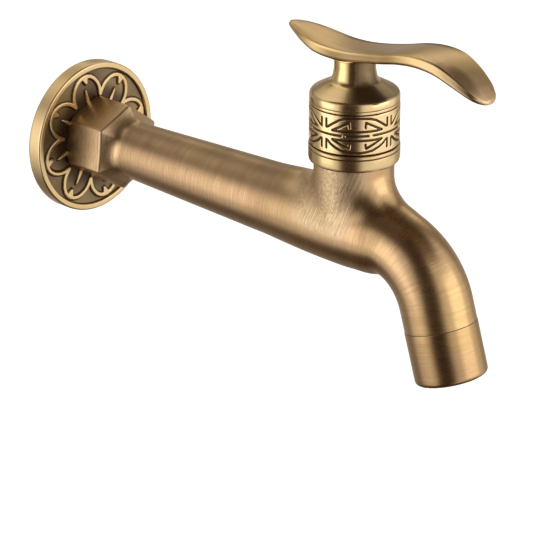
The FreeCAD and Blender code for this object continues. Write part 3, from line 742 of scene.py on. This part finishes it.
def makeThread(size=threadSize):
    pitch, rise, flank = size["pitch"], size["crest"] - size["root"], size["flank"]
    outline = flank + [(1 - share, lift) for share, lift in reversed(flank[:-1])]
    turns = math.ceil((size["end"] - size["start"]) / pitch) + 2
    bm = bmesh.new()
    verts = [bm.verts.new((size["root"] + lift * rise, 0, size["start"] - 1.5 * pitch + share * pitch))
             for share, lift in outline]
    for pair in zip(verts, verts[1:]):
        bm.edges.new(pair)
    bmesh.ops.spin(bm, geom=bm.verts[:] + bm.edges[:], cent=(0, 0, 0), axis=(0, 0, 1),
                   dvec=(0, 0, pitch / size["stepsPerTurn"]), angle=wholeTurn * turns,
                   steps=size["stepsPerTurn"] * turns, use_merge=False)
    merge(bm, 0.01)
    for height, way in ((size["start"], -1), (size["end"], 1)):
        bmesh.ops.bisect_plane(bm, geom=bm.verts[:] + bm.edges[:] + bm.faces[:], dist=0.0001,
                               plane_co=(0, 0, height), plane_no=(0, 0, way), clear_outer=True)
    for vert in bm.verts:
        allowed = size["crest"] - max(0.0, size["start"] + size["leadIn"] - vert.co.z)
        if math.hypot(vert.co.x, vert.co.y) > allowed:
            setRadius(vert, allowed)
    for item in bmesh.ops.extrude_edge_only(bm, edges=openEdges(bm))["geom"]:
        if isinstance(item, bmesh.types.BMVert):
            setRadius(item, size["inner"])
    bmesh.ops.bridge_loops(bm, edges=openEdges(bm))
    grain, bareUnshaded, neck = pieceLayers(bm)
    for vert in bm.verts:
        depth = size["crest"] - math.hypot(vert.co.x, vert.co.y)
        vert[grain], vert[bareUnshaded] = vert.co.z, 1.0 - size["rootAged"] * min(depth / rise, 1.0)
    return move(bm, outOfWall)


finishPiece("inletThread", makeThread(), "tap", "tap_body", "brushedBody", sharp=50)


# Wall plate: raised rim, sunk field with eight petals in raised line

# the petal's outline is in degrees and radius, its vein and lobe are strips with a half width at each end
plateShape = {
    "radius": 30.0, "thickness": 6.2, "field": 4.9, "floorBack": 2.9, "rimInner": 27.6,
    "backRadius": 27.4, "bore": 10.58, "fieldInner": 10.9, "fieldOuter": 27.15, "rimRound": 0.7,
    "columnsPerPetal": 90, "firstPetal": 11.2, "petals": 8, "ridgeRise": 0.85, "ridgeHalf": 1.06,
    "petalOutline": [(0.0, 26.0), (4.0, 25.8), (8.0, 25.2), (12.0, 24.05), (16.0, 22.35),
                     (18.6, 20.9), (20.7, 19.2), (22.5, 17.2)],
    "strips": [((0.0, 15.0), (0.25, 20.2), 1.15, 0.6), ((-0.5, 25.0), (-0.7, 23.4), 1.7, 1.0)],
    "flank": (-0.48, 0.1), "worn": (-0.34, -0.02), "fieldTone": 0.43, "hexagonShade": (15, 23),
    "footShade": (0.0, 0.4)}
petalSides = [[(reach * sinOf(side * turn), reach * cosOf(side * turn))
               for turn, reach in plateShape["petalOutline"]] for side in (-1, 1)]


def petalRelief(across, radius, shape=plateShape):
    # how high the line stands over the field, and how clean the metal is there, with painted shade in a thin
    # line at each ridge's foot and in the field near the hexagon
    px, py = radius * sinOf(across), radius * cosOf(across)
    nearest = lineDistance(px, py, petalSides) - shape["ridgeHalf"]
    for start, end, thick, thin in shape["strips"]:
        gap, share = segmentDistance(px, py, *start, *end)
        nearest = min(nearest, gap - thick - (thin - thick) * share)
    rise = shape["ridgeRise"] * (1 - smoothStep(*shape["flank"], nearest))
    cleanUnshaded = 1 - smoothStep(*shape["worn"], nearest)
    # painted shade: the field darkens towards the hexagon and in a thin line along each ridge's foot
    tone = shape["fieldTone"] * (0.6 + 0.4 * smoothStep(*shape["hexagonShade"], radius))
    return rise, max(cleanUnshaded, tone * (0.4 + 0.6 * smoothStep(*shape["footShade"], nearest)))


def makePlate(shape=plateShape):
    rim, top, out, bore = shape["rimInner"], shape["thickness"], shape["radius"], shape["bore"]
    field, back, inner, rounding = shape["field"], shape["floorBack"], shape["backRadius"], shape["rimRound"]
    rows = [(bore, back), (bore, field - 0.2)]
    rows += [(radius, field) for radius in spaced(shape["fieldInner"], shape["fieldOuter"], 66)]
    rows += [(27.4, field + 0.06), (27.52, field + 0.3), (rim, field + 0.8), (rim + 0.04, top - 0.3)]
    rows += arc(rim + 0.45, top - 0.35, 0.41, 0.35, (-60, -40, -20, 0))
    rows += [(radius, top) for radius in spaced(rim + 0.7, out - 0.95, 4)]
    rows += arc(out - rounding, top - rounding, rounding, rounding, range(0, 91, 15))
    rows += [(out, height) for height in spaced(top - 1.1, 0.4, 10)]
    rows += [(out - 0.06, 0.14), (out - 0.2, 0.0), (inner + 0.1, 0.0), (inner, 0.1), (inner, back - 0.2),
             (inner - 0.2, back), (bore, back)]
    each = shape["columnsPerPetal"]
    columns = each * shape["petals"]
    middle = 180.0 / shape["petals"]
    petal = {(k, row): petalRelief(k * 360.0 / columns - middle, radius)
             for row, (radius, height) in enumerate(rows) if height == field for k in range(each)}

    def place(column, row):
        radius, height = rows[row]
        rise, cleanUnshaded = petal.get((column % each, row), (0.0, 1.0))
        if height == field:
            cleanUnshaded = max(cleanUnshaded, smoothStep(27.1, 27.2, radius) * 0.1)
        elif radius < rim and row > 2 and field < height < top - 0.4:
            cleanUnshaded = smoothStep(field + 0.1, top - 0.6, height)
        elif row < 2 or height <= back and radius < out - 1:
            cleanUnshaded = 0.3
        turn = column * 360.0 / columns + shape["firstPetal"] - middle
        grain = radius if height > top - 0.5 or height <= field else height + 40
        return polar(radius, turn, height + rise), grain, cleanUnshaded

    return move(ringGrid(columns, len(rows), place), outOfWall)


finishPiece("petalPlate", makePlate(), "tap", "escutcheon", "castPlate", sharp=60)


# Plain ring under the carved band

ringShape = {"inner": 13.05, "foot": (15.9, 26.1), "radius": 16.25, "footTop": 27.0, "footRound": 0.7,
             "groove": 30.7, "grooveWidth": 0.6, "grooveDepth": 0.4, "top": 32.2, "notch": 0.6}


def makeRing(shape=ringShape):
    out, groove, wide, top = shape["radius"], shape["groove"], shape["grooveWidth"] / 2, shape["top"]
    bm = turnedShape([
        (shape["inner"], shape["foot"][1]), (*shape["foot"], 0.3),
        (out, shape["footTop"], shape["footRound"]),
        (out, groove - wide, 0.1), (out - shape["grooveDepth"], groove, 0.1), (out, groove + wide, 0.1),
        (out, top - shape["notch"] / 2, 0.2), (out - shape["notch"], top, 0.1), (shape["inner"], top)])
    bareUnshaded = bm.verts.layers.float["bareUnshaded"]
    for vert in bm.verts:
        # the groove holds patina; the foot and top faces, where the ring meets the neck and the band, are
        # painted dark: painted shade
        inGroove = abs(vert.co.z - groove) < wide and math.hypot(vert.co.x, vert.co.y) < out - 0.12
        if inGroove or vert.co.z > top - 0.05 or vert.co.z < shape["foot"][1] + 0.1:
            vert[bareUnshaded] = 0.0
    return move(bm, onTower)


finishPiece("plainRing", makeRing(), "tap", "lower_ring", "turnedTower")


# Carved band: four fretwork panels cut into the sleeve

bandShape = {"radius": 16.0, "foot": 32.2, "top": 46.95, "notch": 0.6, "edge": 0.35, "bore": 14.2,
             "lipBore": 13.05, "lipTop": 33.8, "columnsPerPanel": 184, "panels": 4, "rows": 104,
             "cutFlank": (0.14, 0.49), "cutDepth": 0.55, "worn": (0.22, 0.52)}
# fretwork lines: degrees from the panel's middle and height
fretLines = [
    [(41.2, 45.05), (41.2, 42.1), (38.5, 42.35), (32.8, 43.5), (23.4, 45.15), (15.4, 45.9), (7, 46.1),
     (0, 46.15)],
    [(41.2, 34.4), (41.2, 37.5), (39.3, 37.4), (34.6, 36.2), (27.7, 35.1), (18.5, 34.1), (9.7, 33.7),
     (0, 33.5)],
    [(0, 41.2), (32.4, 41.3), (10.5, 44.5), (10.0, 42.7)],
    [(0, 38.0), (32.4, 38.0), (10.5, 35.1), (10.0, 36.5)],
    [(0, 39.65), (13.7, 39.65)], [(20.5, 39.65), (45, 39.65)]]
mmPerDegree = math.radians(bandShape["radius"])
fretPaths = [[(turn * mmPerDegree, height) for turn, height in line] for line in fretLines]


def fretCut(across, height, shape=bandShape):
    # depth of the cut and cleanness of the metal at one place of a panel
    nearest = lineDistance(abs(across) * mmPerDegree, height, fretPaths)
    cut = 1 - smoothStep(*shape["cutFlank"], nearest)
    return cut * shape["cutDepth"], smoothStep(*shape["worn"], nearest)


def makeBand(shape=bandShape):
    out, low, high, edge = shape["radius"], shape["foot"], shape["top"], shape["edge"]
    bore, lip, lipTop = shape["bore"], shape["lipBore"], shape["lipTop"]
    rows = [(bore - 0.4, low), (out - shape["notch"], low), (out - 0.45, low + 0.12), (out - 0.1, low + 0.5)]
    rows += [(out, height) for height in spaced(low + 0.68, high - edge, shape["rows"])]
    rows += arc(out - edge, high - edge, edge, edge, (68, 45, 23, 0))
    rows += [(bore, high), (bore, high - 4), (bore, lipTop), (lip, lipTop), (lip, low), (bore - 0.4, low)]
    each = shape["columnsPerPanel"]
    columns = each * shape["panels"]
    panel = {(k, row): fretCut(k * 360.0 / columns - 180.0 / shape["panels"], height)
             for row, (radius, height) in enumerate(rows) if radius == out for k in range(each)}
    # the band's underside and foot notch are darker
    footDarker = (0.0, 0.0, 0.0, 0.6)

    def place(column, row):
        radius, height = rows[row]
        turn = column * 360.0 / columns
        cut, cleanUnshaded = panel.get((column % each, row), (0.0, footDarker[row] if row < 4 else 1.0))
        return polar(radius - cut, turn, height), height, cleanUnshaded

    return move(ringGrid(columns, len(rows), place), onTower)


finishPiece("litCarvedBand", makeBand(), "tap", "carved_sleeve", "litCarvedBand", sharp=60)


# Handle: cap and hub turned, the leaf-shaped lever lofted over them

# sections: out, half width, top and depth
leverShape = {
    "sections": [
        (110.35, 0.5, 70.2, 0.8), (111.2, 2.0, 70.3, 1.2), (112.5, 3.1, 70.3, 1.6), (116.0, 4.8, 70.0, 2.5),
        (121.0, 6.4, 69.2, 3.5), (127.0, 7.3, 68.2, 4.4), (134.0, 7.2, 67.6, 4.7), (142.0, 7.2, 67.8, 4.5),
        (150.0, 7.4, 68.8, 4.1), (158.0, 8.0, 70.3, 4.1), (166.0, 8.7, 72.2, 4.2), (174.0, 9.0, 73.1, 4.3),
        (182.0, 8.7, 72.4, 4.5), (189.0, 7.8, 69.5, 4.4), (195.0, 6.4, 65.7, 3.6), (197.6, 5.1, 63.7, 2.9),
        (199.1, 3.5, 62.4, 2.1), (199.75, 2.1, 61.8, 1.7), (200.0, 0.5, 61.55, 1.5)],
    "rows": 150, "flare": 0.1, "topEdge": 0.7, "lowerEdge": 1.5, "crown": 0.3,
    # the side band and the far half of the top are painted darker as shade; the paddle has a darker spot
    "side": (0.12, 0.3), "sideReach": (114, 138, 160, 184), "sideShade": 0.52,
    "far": (0.25, 0.95), "farReach": (122, 138, 168, 196), "farShade": 0.8,
    "paddleSpot": (-4.5, 192.0, 6.5), "paddleDarkening": 0.52, "mostDarkening": 0.85, "grain": (1.6, 0.05)}


def leverOutline(half, top, depth, shape=leverShape):
    # points round the section, from the middle of the top to the middle of the underside and back
    lower = min(shape["lowerEdge"], 0.5 * half, 0.55 * depth)
    upper = min(shape["topEdge"], 0.3 * half, 0.25 * depth)
    foot, floor = half + shape["flare"] * depth, top - depth
    sideTop, sideLow = top - shape["crown"] - upper, floor + lower
    right = [(half * share, top - shape["crown"] * share * share) for share in (0.0, 0.2, 0.4, 0.6, 0.75)]
    right += [(half - upper * 1.6, top - shape["crown"])]
    right += arc(half - upper, sideTop, upper, upper, (10, 30, 50, 70, 90))
    right += [(half + (foot - half) * share, sideTop + (sideLow - sideTop) * share)
              for share in (0.33, 0.67)]
    right += arc(foot - lower, sideLow, lower, lower, range(90, 181, 18))
    right += [((foot - lower) * share, floor) for share in (0.66, 0.33, 0.0)]
    return right + [(-x, z) for x, z in right[-2:0:-1]]


def makeLever(shape=leverShape):
    sections, count = shape["sections"], shape["rows"]
    first, last = sections[0][0], sections[-1][0]
    outs = [first + (last - first) * (1 - math.cos(math.pi * i / count)) / 2 for i in range(count + 1)]
    depths = [hermite(sections, out)[2] for out in outs]
    outlines = [leverOutline(*hermite(sections, out)) for out in outs]
    columns = len(outlines[0])
    spotX, spotOut, spotReach = shape["paddleSpot"]

    def place(column, row):
        out, top = outs[row], outlines[row][0][1]
        x, z = outlines[row][column]
        if row in (0, count):
            x, z = 0.0, top - 0.5
        onSide = smoothStep(*shape["side"], (top - z) / depths[row])
        half = max(outlines[row][columns // 4][0], 1.0)
        spot = 1 - smoothStep(0.25, 1.0, math.hypot(x - spotX, (out - spotOut) * 0.6) / spotReach)
        # painted shade on the side band and far half, and a darker spot on the paddle
        darkening = shape["sideShade"] * onSide * between(out, *shape["sideReach"]) \
            + shape["farShade"] * smoothStep(*shape["far"], x / half) * between(out, *shape["farReach"]) \
            + shape["paddleDarkening"] * spot * (1 - onSide)
        grain = shape["grain"][0] * x + shape["grain"][1] * out
        return Vector((x, -out, z)), grain, 1 - min(darkening, shape["mostDarkening"])

    return ringGrid(columns, count + 1, place)


capShape = {
    "skirt": 47.2, "radius": 15.9, "bead": 0.9, "grooveWidth": 0.4, "grooveDepth": 0.18, "sideTop": 51.1,
    "shoulder": 1.15, "coneTop": 55.3, "footRadius": 8.1, "footFillet": 1.6, "hubRadius": 7.3,
    "footHeight": 4.0, "flareStart": 60.5, "hubTop": 64.8, "wall": 2.0, "roof": 52.7, "boss": 6.3,
    "socketMouth": 48.5, "socket": 4.0, "socketTop": 60.0, "blend": 1.9, "grubRadius": 2.05,
    "grubHeight": 57.8, "straightShare": 0.35, "sunk": 0.25, "coneShade": 0.64,
    # cone and hub entries: painted shade on the cone by the hub, on its back and on the hub's front
    "coneDark": (-78, -44, 60, 100), "coneEased": (-8, 4), "coneBack": (112, 145),
    "hubShade": 0.62, "hubDark": (-58, -42, 14, 36)}


def makeCap(shape=capShape):
    skirt, out, side, cone = shape["skirt"], shape["radius"], shape["sideTop"], shape["coneTop"]
    hub, foot, wide, hubTop = shape["hubRadius"], shape["footRadius"], shape["grooveWidth"], shape["hubTop"]
    bead, inner, flare = skirt + shape["bead"], out - shape["wall"], shape["flareStart"]
    straight = shape["straightShare"]
    corners = [(inner, skirt), (out, skirt, 0.3), (out, bead, 0.12),
               (out - shape["grooveDepth"], bead + wide / 2, 0.08), (out, bead + wide, 0.12),
               (out, side, shape["shoulder"]), (foot, cone, shape["footFillet"]),
               (hub, cone + shape["footHeight"], 0.8)]
    corners += [(hub, height) for height in spaced(flare, hubTop, 11)]
    corners += [(0, hubTop), (0, shape["socketTop"]), (shape["socket"], shape["socketTop"]),
                (shape["socket"], shape["socketMouth"]), (shape["boss"], shape["socketMouth"]),
                (shape["boss"], shape["roof"]), (foot, shape["roof"]), (inner, side - shape["wall"] / 2)]
    bm = turnedShape(corners)
    bareUnshaded = bm.verts.layers.float["bareUnshaded"]
    for vert in bm.verts:
        height, radius = vert.co.z, math.hypot(vert.co.x, vert.co.y)
        azimuth = math.degrees(math.atan2(vert.co.x, -vert.co.y))
        # a wedge of the cone by the hub and the cone's back are painted darker: painted shade of the hub and
        # lever
        if height > side - 0.8 and radius > foot - 0.2:
            eased = 1 - 0.3 * smoothStep(*shape["coneEased"], azimuth)
            wedge = between(azimuth, *shape["coneDark"]) * eased \
                + 0.6 * smoothStep(*shape["coneBack"], abs(azimuth))
            vert[bareUnshaded] = 1 - shape["coneShade"] * wedge * smoothStep(side - 0.7, side, height)
        if abs(height - bead - wide / 2) < 0.15 and radius > inner:
            vert[bareUnshaded] = 0.5
        if height < skirt + 0.02:
            vert[bareUnshaded] = 0.0
        # the hub's foot is painted darker on its front: painted shade for its dark reflection
        if height > cone - 0.6 and radius < foot + 0.8:
            vert[bareUnshaded] = 1 - shape["hubShade"] * between(azimuth, *shape["hubDark"])
        lifted = (height - flare) / (hubTop - flare)
        if lifted < -0.01 or radius < hub - 0.01:
            continue
        # the hub's top widens into the lever's underside
        away = Vector((vert.co.x, vert.co.y, 0)).normalized()
        blend = 0.1 + shape["blend"] * away.y * away.y
        top, depth = hermite(leverShape["sections"], towerOut - away.y * (hub + blend))[1:]
        start = top - depth - blend
        share = min(lifted / 0.9, 1.0)
        if share < straight:
            vert.co.z = flare + (start - flare) * share / straight
        else:
            turn = 90 * (share - straight) / (1 - straight)
            grown = hub + blend * (1 - cosOf(turn))
            vert.co.x, vert.co.y = away.x * grown, away.y * grown
            vert.co.z = start + blend * sinOf(turn) + (shape["sunk"] if lifted > 0.95 else 0.0)
    return move(bm, onTower)


def cutGrubHole(bm, shape=capShape):
    # the hole for the handle's grub screw, on the side that faces the wall
    cutter = bmesh.new()
    bmesh.ops.create_cone(cutter, cap_ends=True, segments=48, radius1=shape["grubRadius"],
                          radius2=shape["grubRadius"], depth=10.0)
    move(cutter, Matrix.Translation((0, 8.9 - towerOut, shape["grubHeight"])) @ outOfWall)
    uncut, tool = (addObject(name, meshOf(source, name))
                   for source, name in ((bm, "uncut"), (cutter, "cutter")))
    boolean = uncut.modifiers.new("hole", "BOOLEAN")
    boolean.operation, boolean.object = "DIFFERENCE", tool
    cut = uncut.evaluated_get(bpy.context.evaluated_depsgraph_get())
    done = bmesh.new()
    done.from_mesh(cut.to_mesh())
    cut.to_mesh_clear()
    for holder in (uncut, tool):
        bpy.data.meshes.remove(holder.data)
    return done


finishPiece("leverBlade", makeLever(), "handle", "lever_handle", "satinLever")
finishPiece("handleCap", cutGrubHole(makeCap()), "handle", "lever_handle", "turnedCap")


# Nozzle under the spout's fine seam

nozzleShape = {"length": 19.45, "radius": 13.12, "seamRound": 0.25, "tipRound": 1.6, "lip": 8.7,
               "lipDepth": 0.9, "lowerBore": 9.55, "boreStep": 12.0, "upperBore": 10.95}


def makeNozzle(shape=nozzleShape):
    out, end, upper, lower = shape["radius"], shape["length"], shape["upperBore"], shape["lowerBore"]
    lip = end - shape["lipDepth"]
    bm = turnedShape([(upper, 0.0), (out, 0.0, shape["seamRound"]),
                      *((out, height) for height in spaced(3.0, end - 3.0, 5)),
                      (out, end, shape["tipRound"]), (shape["lip"], end, 0.3), (shape["lip"], lip),
                      (lower, lip), (lower, shape["boreStep"]), (upper, shape["boreStep"])])
    grain, bareUnshaded, neck = pieceLayers(bm)
    for vert in bm.verts:
        vert[grain] = vert.co.z + seamRun
        if vert.co.z < 0.05:
            vert[bareUnshaded] = 0.0
    along = wayAlong(seamHeading).to_track_quat("Z", "Y").to_matrix().to_4x4()
    return move(bm, Matrix.Translation(seamMiddle) @ along)


finishPiece("nozzleSleeve", makeNozzle(), "tap", "nozzle", "brushedNozzle")


# Inner pieces keep their CAD shape and get their own finishes

innerLooks = {
    "PlainBrass": {
        "tones": ((0.78, 0.55, 0.22), (0.62, 0.42, 0.16)), "rough": (0.18, 0.32), "metal": 1.0,
        "scale": 900.0, "nodes": ("head_body", "spindle")},
    "BlackRubber": {
        "tones": ((0.02, 0.02, 0.02), (0.035, 0.034, 0.033)), "rough": (0.55, 0.75), "metal": 0.0,
        "scale": 2500.0, "nodes": (
            "head_o_ring", "seat_seal", "spindle_o_ring_lower", "spindle_o_ring_upper", "aerator_washer")},
    "Ceramic": {
        "tones": ((0.86, 0.85, 0.80), (0.80, 0.78, 0.72)), "rough": (0.12, 0.25), "metal": 0.0,
        "scale": 600.0, "nodes": ("fixed_disc", "moving_disc")},
    "Steel": {
        "tones": ((0.62, 0.62, 0.60), (0.48, 0.48, 0.47)), "rough": (0.22, 0.4), "metal": 1.0,
        "scale": 1500.0, "nodes": ("circlip", "grub_screw", "aerator_screen")},
    "WhitePlastic": {
        "tones": ((0.80, 0.80, 0.77), (0.74, 0.73, 0.70)), "rough": (0.35, 0.5), "metal": 0.0,
        "scale": 1200.0, "nodes": ("thrust_washer", "aerator_insert", "aerator_grid")}}
innerBump = {"Strength": 0.15, "Distance": 0.00005}


def plainFinish(name, look):
    material, tree, shader = newMaterial(name)
    speckle = noiseOf(tree, objectPlace(tree), look["scale"], 4.0)
    low, high = look["rough"]
    rough = addNode(tree, "MapRange", {0: speckle, "To Min": low, "To Max": high})[0]
    bump = addNode(tree, "Bump", {**innerBump, "Height": speckle})[0]
    feed(tree, shader, {"Base Color": mixColours(tree, speckle, *look["tones"]), "Roughness": rough,
                        "Normal": bump, "Metallic": look["metal"]})
    return material


for name, look in innerLooks.items():
    finish = plainFinish(name + "Finish", look)
    for node in look["nodes"]:
        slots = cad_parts[node].data.materials
        for index in range(len(slots)):
            slots[index] = finish
        if not slots:
            slots.append(finish)
print("inner pieces dressed")


# Stage: floor, lamps and the room round them; angles in degrees, sizes in metres

lampPlan = {"rightSoftbox": {"azimuth": 20, "elevation": 10, "width": 1.0, "height": 0.95, "glow": 1.25},
            "leftSoftbox": {"azimuth": -118, "elevation": 0, "width": 0.75, "height": 0.85, "glow": 1.15}}
lampDistance = 1.2
tapMiddle = Vector((0.0, -0.1, 0.0))


def softbox(name, plan):
    way = wayTo(plan["azimuth"], plan["elevation"])
    lamp = bpy.data.lights.new(name, "AREA")
    lamp.shape = "RECTANGLE"
    lamp.size, lamp.size_y = plan["width"], plan["height"]
    lamp.energy = plan["glow"] * math.pi * plan["width"] * plan["height"]
    addObject(name, lamp).matrix_world = Matrix.Translation(tapMiddle + way * lampDistance) \
        @ way.to_track_quat("Z", "Y").to_matrix().to_4x4()


for name, plan in lampPlan.items():
    softbox(name, plan)

# the room is a plain tone with soft cards laid over it, each over the ones before: azimuth with full
# and zero cover to each side, lowest and highest elevation, softness of those ends, colour
roomTone = (0.40, 0.385, 0.37)
roomCards = {
    "ceiling": (None, None, None, 48, None, 12, (0.075, 0.055, 0.042)),
    "ceilingNearWall": (95, 30, 85, 42, 58, 6, (0.36, 0.33, 0.30)),
    "ground": (None, None, None, None, -40, 8, (0.10, 0.07, 0.055)),
    "rightScreen": (20, 36, 66, -38, 51, 7, (1.15, 1.13, 1.12)),
    "wallSide": (98, 10, 26, 8, 58, 6, (0.23, 0.20, 0.17)),
    "leftScreen": (-112, 20, 41, -38, 31, 6, (1.16, 1.14, 1.13)),
    "ceilingFront": (-18, 18, 48, 50, 74, 5, (0.24, 0.17, 0.11)),
    "highFlag": (-85, 30, 56, 38, None, 5, (0.12, 0.08, 0.06)),
    "darkFlag": (-60, 12, 34, -75, 75, 10, (0.052, 0.029, 0.023)),
    "wallBand": (146, 24, 40, 8, 23, 5, (0.06, 0.05, 0.045)),
    "backScreen": (162, 28, 46, 26, 54, 5, (0.58, 0.55, 0.50)),
    "leverScreen": (122, 13, 27, 22, 42, 4, (1.5, 1.43, 1.30)),
    "topScreen": (-164, 14, 32, 38, 76, 6, (1.1, 1.06, 1.0))}
backdropCard = (133, 20, 70, None, 48, 8)
backdropShare = 0.2
floorLook = {"height": -0.75, "size": 30.0, "colour": (0.82, 0.82, 0.82), "roughness": 0.9, "lift": 0.72}
white = (1.0, 1.0, 1.0)


def cover(tree, split, level, azimuth, full, none, low, high, soft):
    # 1 where a card covers the room, 0 elsewhere
    masks = []
    if azimuth is not None:
        across = times(tree, split[0], sinOf(azimuth))
        along = times(tree, split[1], -cosOf(azimuth))
        facing = calc(tree, "DIVIDE", calc(tree, "ADD", across, along), level)
        masks.append(softRamp(tree, facing, cosOf(none), cosOf(full)))
    for end, side in ((low, soft), (high, -soft)):
        if end is not None:
            masks.append(softRamp(tree, split[2], sinOf(end - side), sinOf(end + side)))
    mask = masks[0]
    for other in masks[1:]:
        mask = times(tree, mask, other)
    return mask


def roomGroup():
    # the colour that the studio has in a direction
    tree, entry, leave = newGroup("studioRoom", {"Vector": ["direction"]},
                                  {"Color": ["colour"], "Float": ["backdrop"]})
    unit = addNode(tree, "VectorMath", {0: entry[0]}, operation="NORMALIZE")[0]
    split = addNode(tree, "SeparateXYZ", {0: unit})
    level = calc(tree, "SQRT", calc(tree, "SUBTRACT", 1.0001, times(tree, split[2], split[2])))
    colour = roomTone
    for *card, tone in roomCards.values():
        colour = mixColours(tree, cover(tree, split, level, *card), colour, tone)
    behind = times(tree, cover(tree, split, level, *backdropCard), backdropShare)
    feed(tree, leave, {"colour": colour, "backdrop": behind})
    return tree


room = roomGroup()


def roomSeen(tree, direction, rays):
    # the room with the pale backdrop's share in reflections
    placed = addGroup(tree, room, direction=direction)
    mirrored = calc(tree, "ADD", rays["Is Glossy Ray"], rays["Is Transmission Ray"])
    return mixColours(tree, times(tree, mirrored, placed["backdrop"]), placed["colour"], white)


def makeWorld():
    world = bpy.data.worlds.new("studioRoom")
    bpy.context.scene.world = world
    world.use_nodes = True
    tree = world.node_tree
    rays = addNode(tree, "LightPath")
    seen = roomSeen(tree, addNode(tree, "TexCoord")["Generated"], rays)
    feed(tree, tree.nodes["Background"].inputs, {
        "Color": mixColours(tree, rays["Is Camera Ray"], seen, white), "Strength": 1.0})


def makeFloor(look=floorLook):
    bm = bmesh.new()
    bmesh.ops.create_grid(bm, x_segments=1, y_segments=1, size=look["size"] / 2)
    bmesh.ops.translate(bm, vec=(0, 0, look["height"]), verts=bm.verts)
    floor = addObject("paleFloor", meshOf(bm, "paleFloor"))
    material, tree, shader = newMaterial("paleFloor")
    # lifts the floor to white for the eye, and the object's shadow stays in it
    rays = addNode(tree, "LightPath")
    seen = calc(tree, "ADD", rays["Is Camera Ray"], rays["Is Transmission Ray"])
    feed(tree, shader, {"Base Color": look["colour"], "Roughness": look["roughness"],
                        "Emission Color": white, "Emission Strength": times(tree, seen, look["lift"])})
    # in the brass the floor has the room's tone, seen from the tap
    fromTap = addNode(tree, "VectorMath", {0: objectPlace(tree), 1: tapMiddle}, operation="SUBTRACT")[0]
    glow = addNode(tree, "Emission", {0: roomSeen(tree, fromTap, rays)})[0]
    surface = addNode(tree, "MixShader", {
        0: rays["Is Glossy Ray"], 1: tree.nodes["Principled BSDF"].outputs[0], 2: glow})[0]
    feed(tree, tree.nodes["Material Output"].inputs, {"Surface": surface})
    material.cycles.emission_sampling = "NONE"
    floor.data.materials.append(material)


makeWorld()
makeFloor()
print("stage set")

bpy.context.scene.view_settings.view_transform = "Standard"
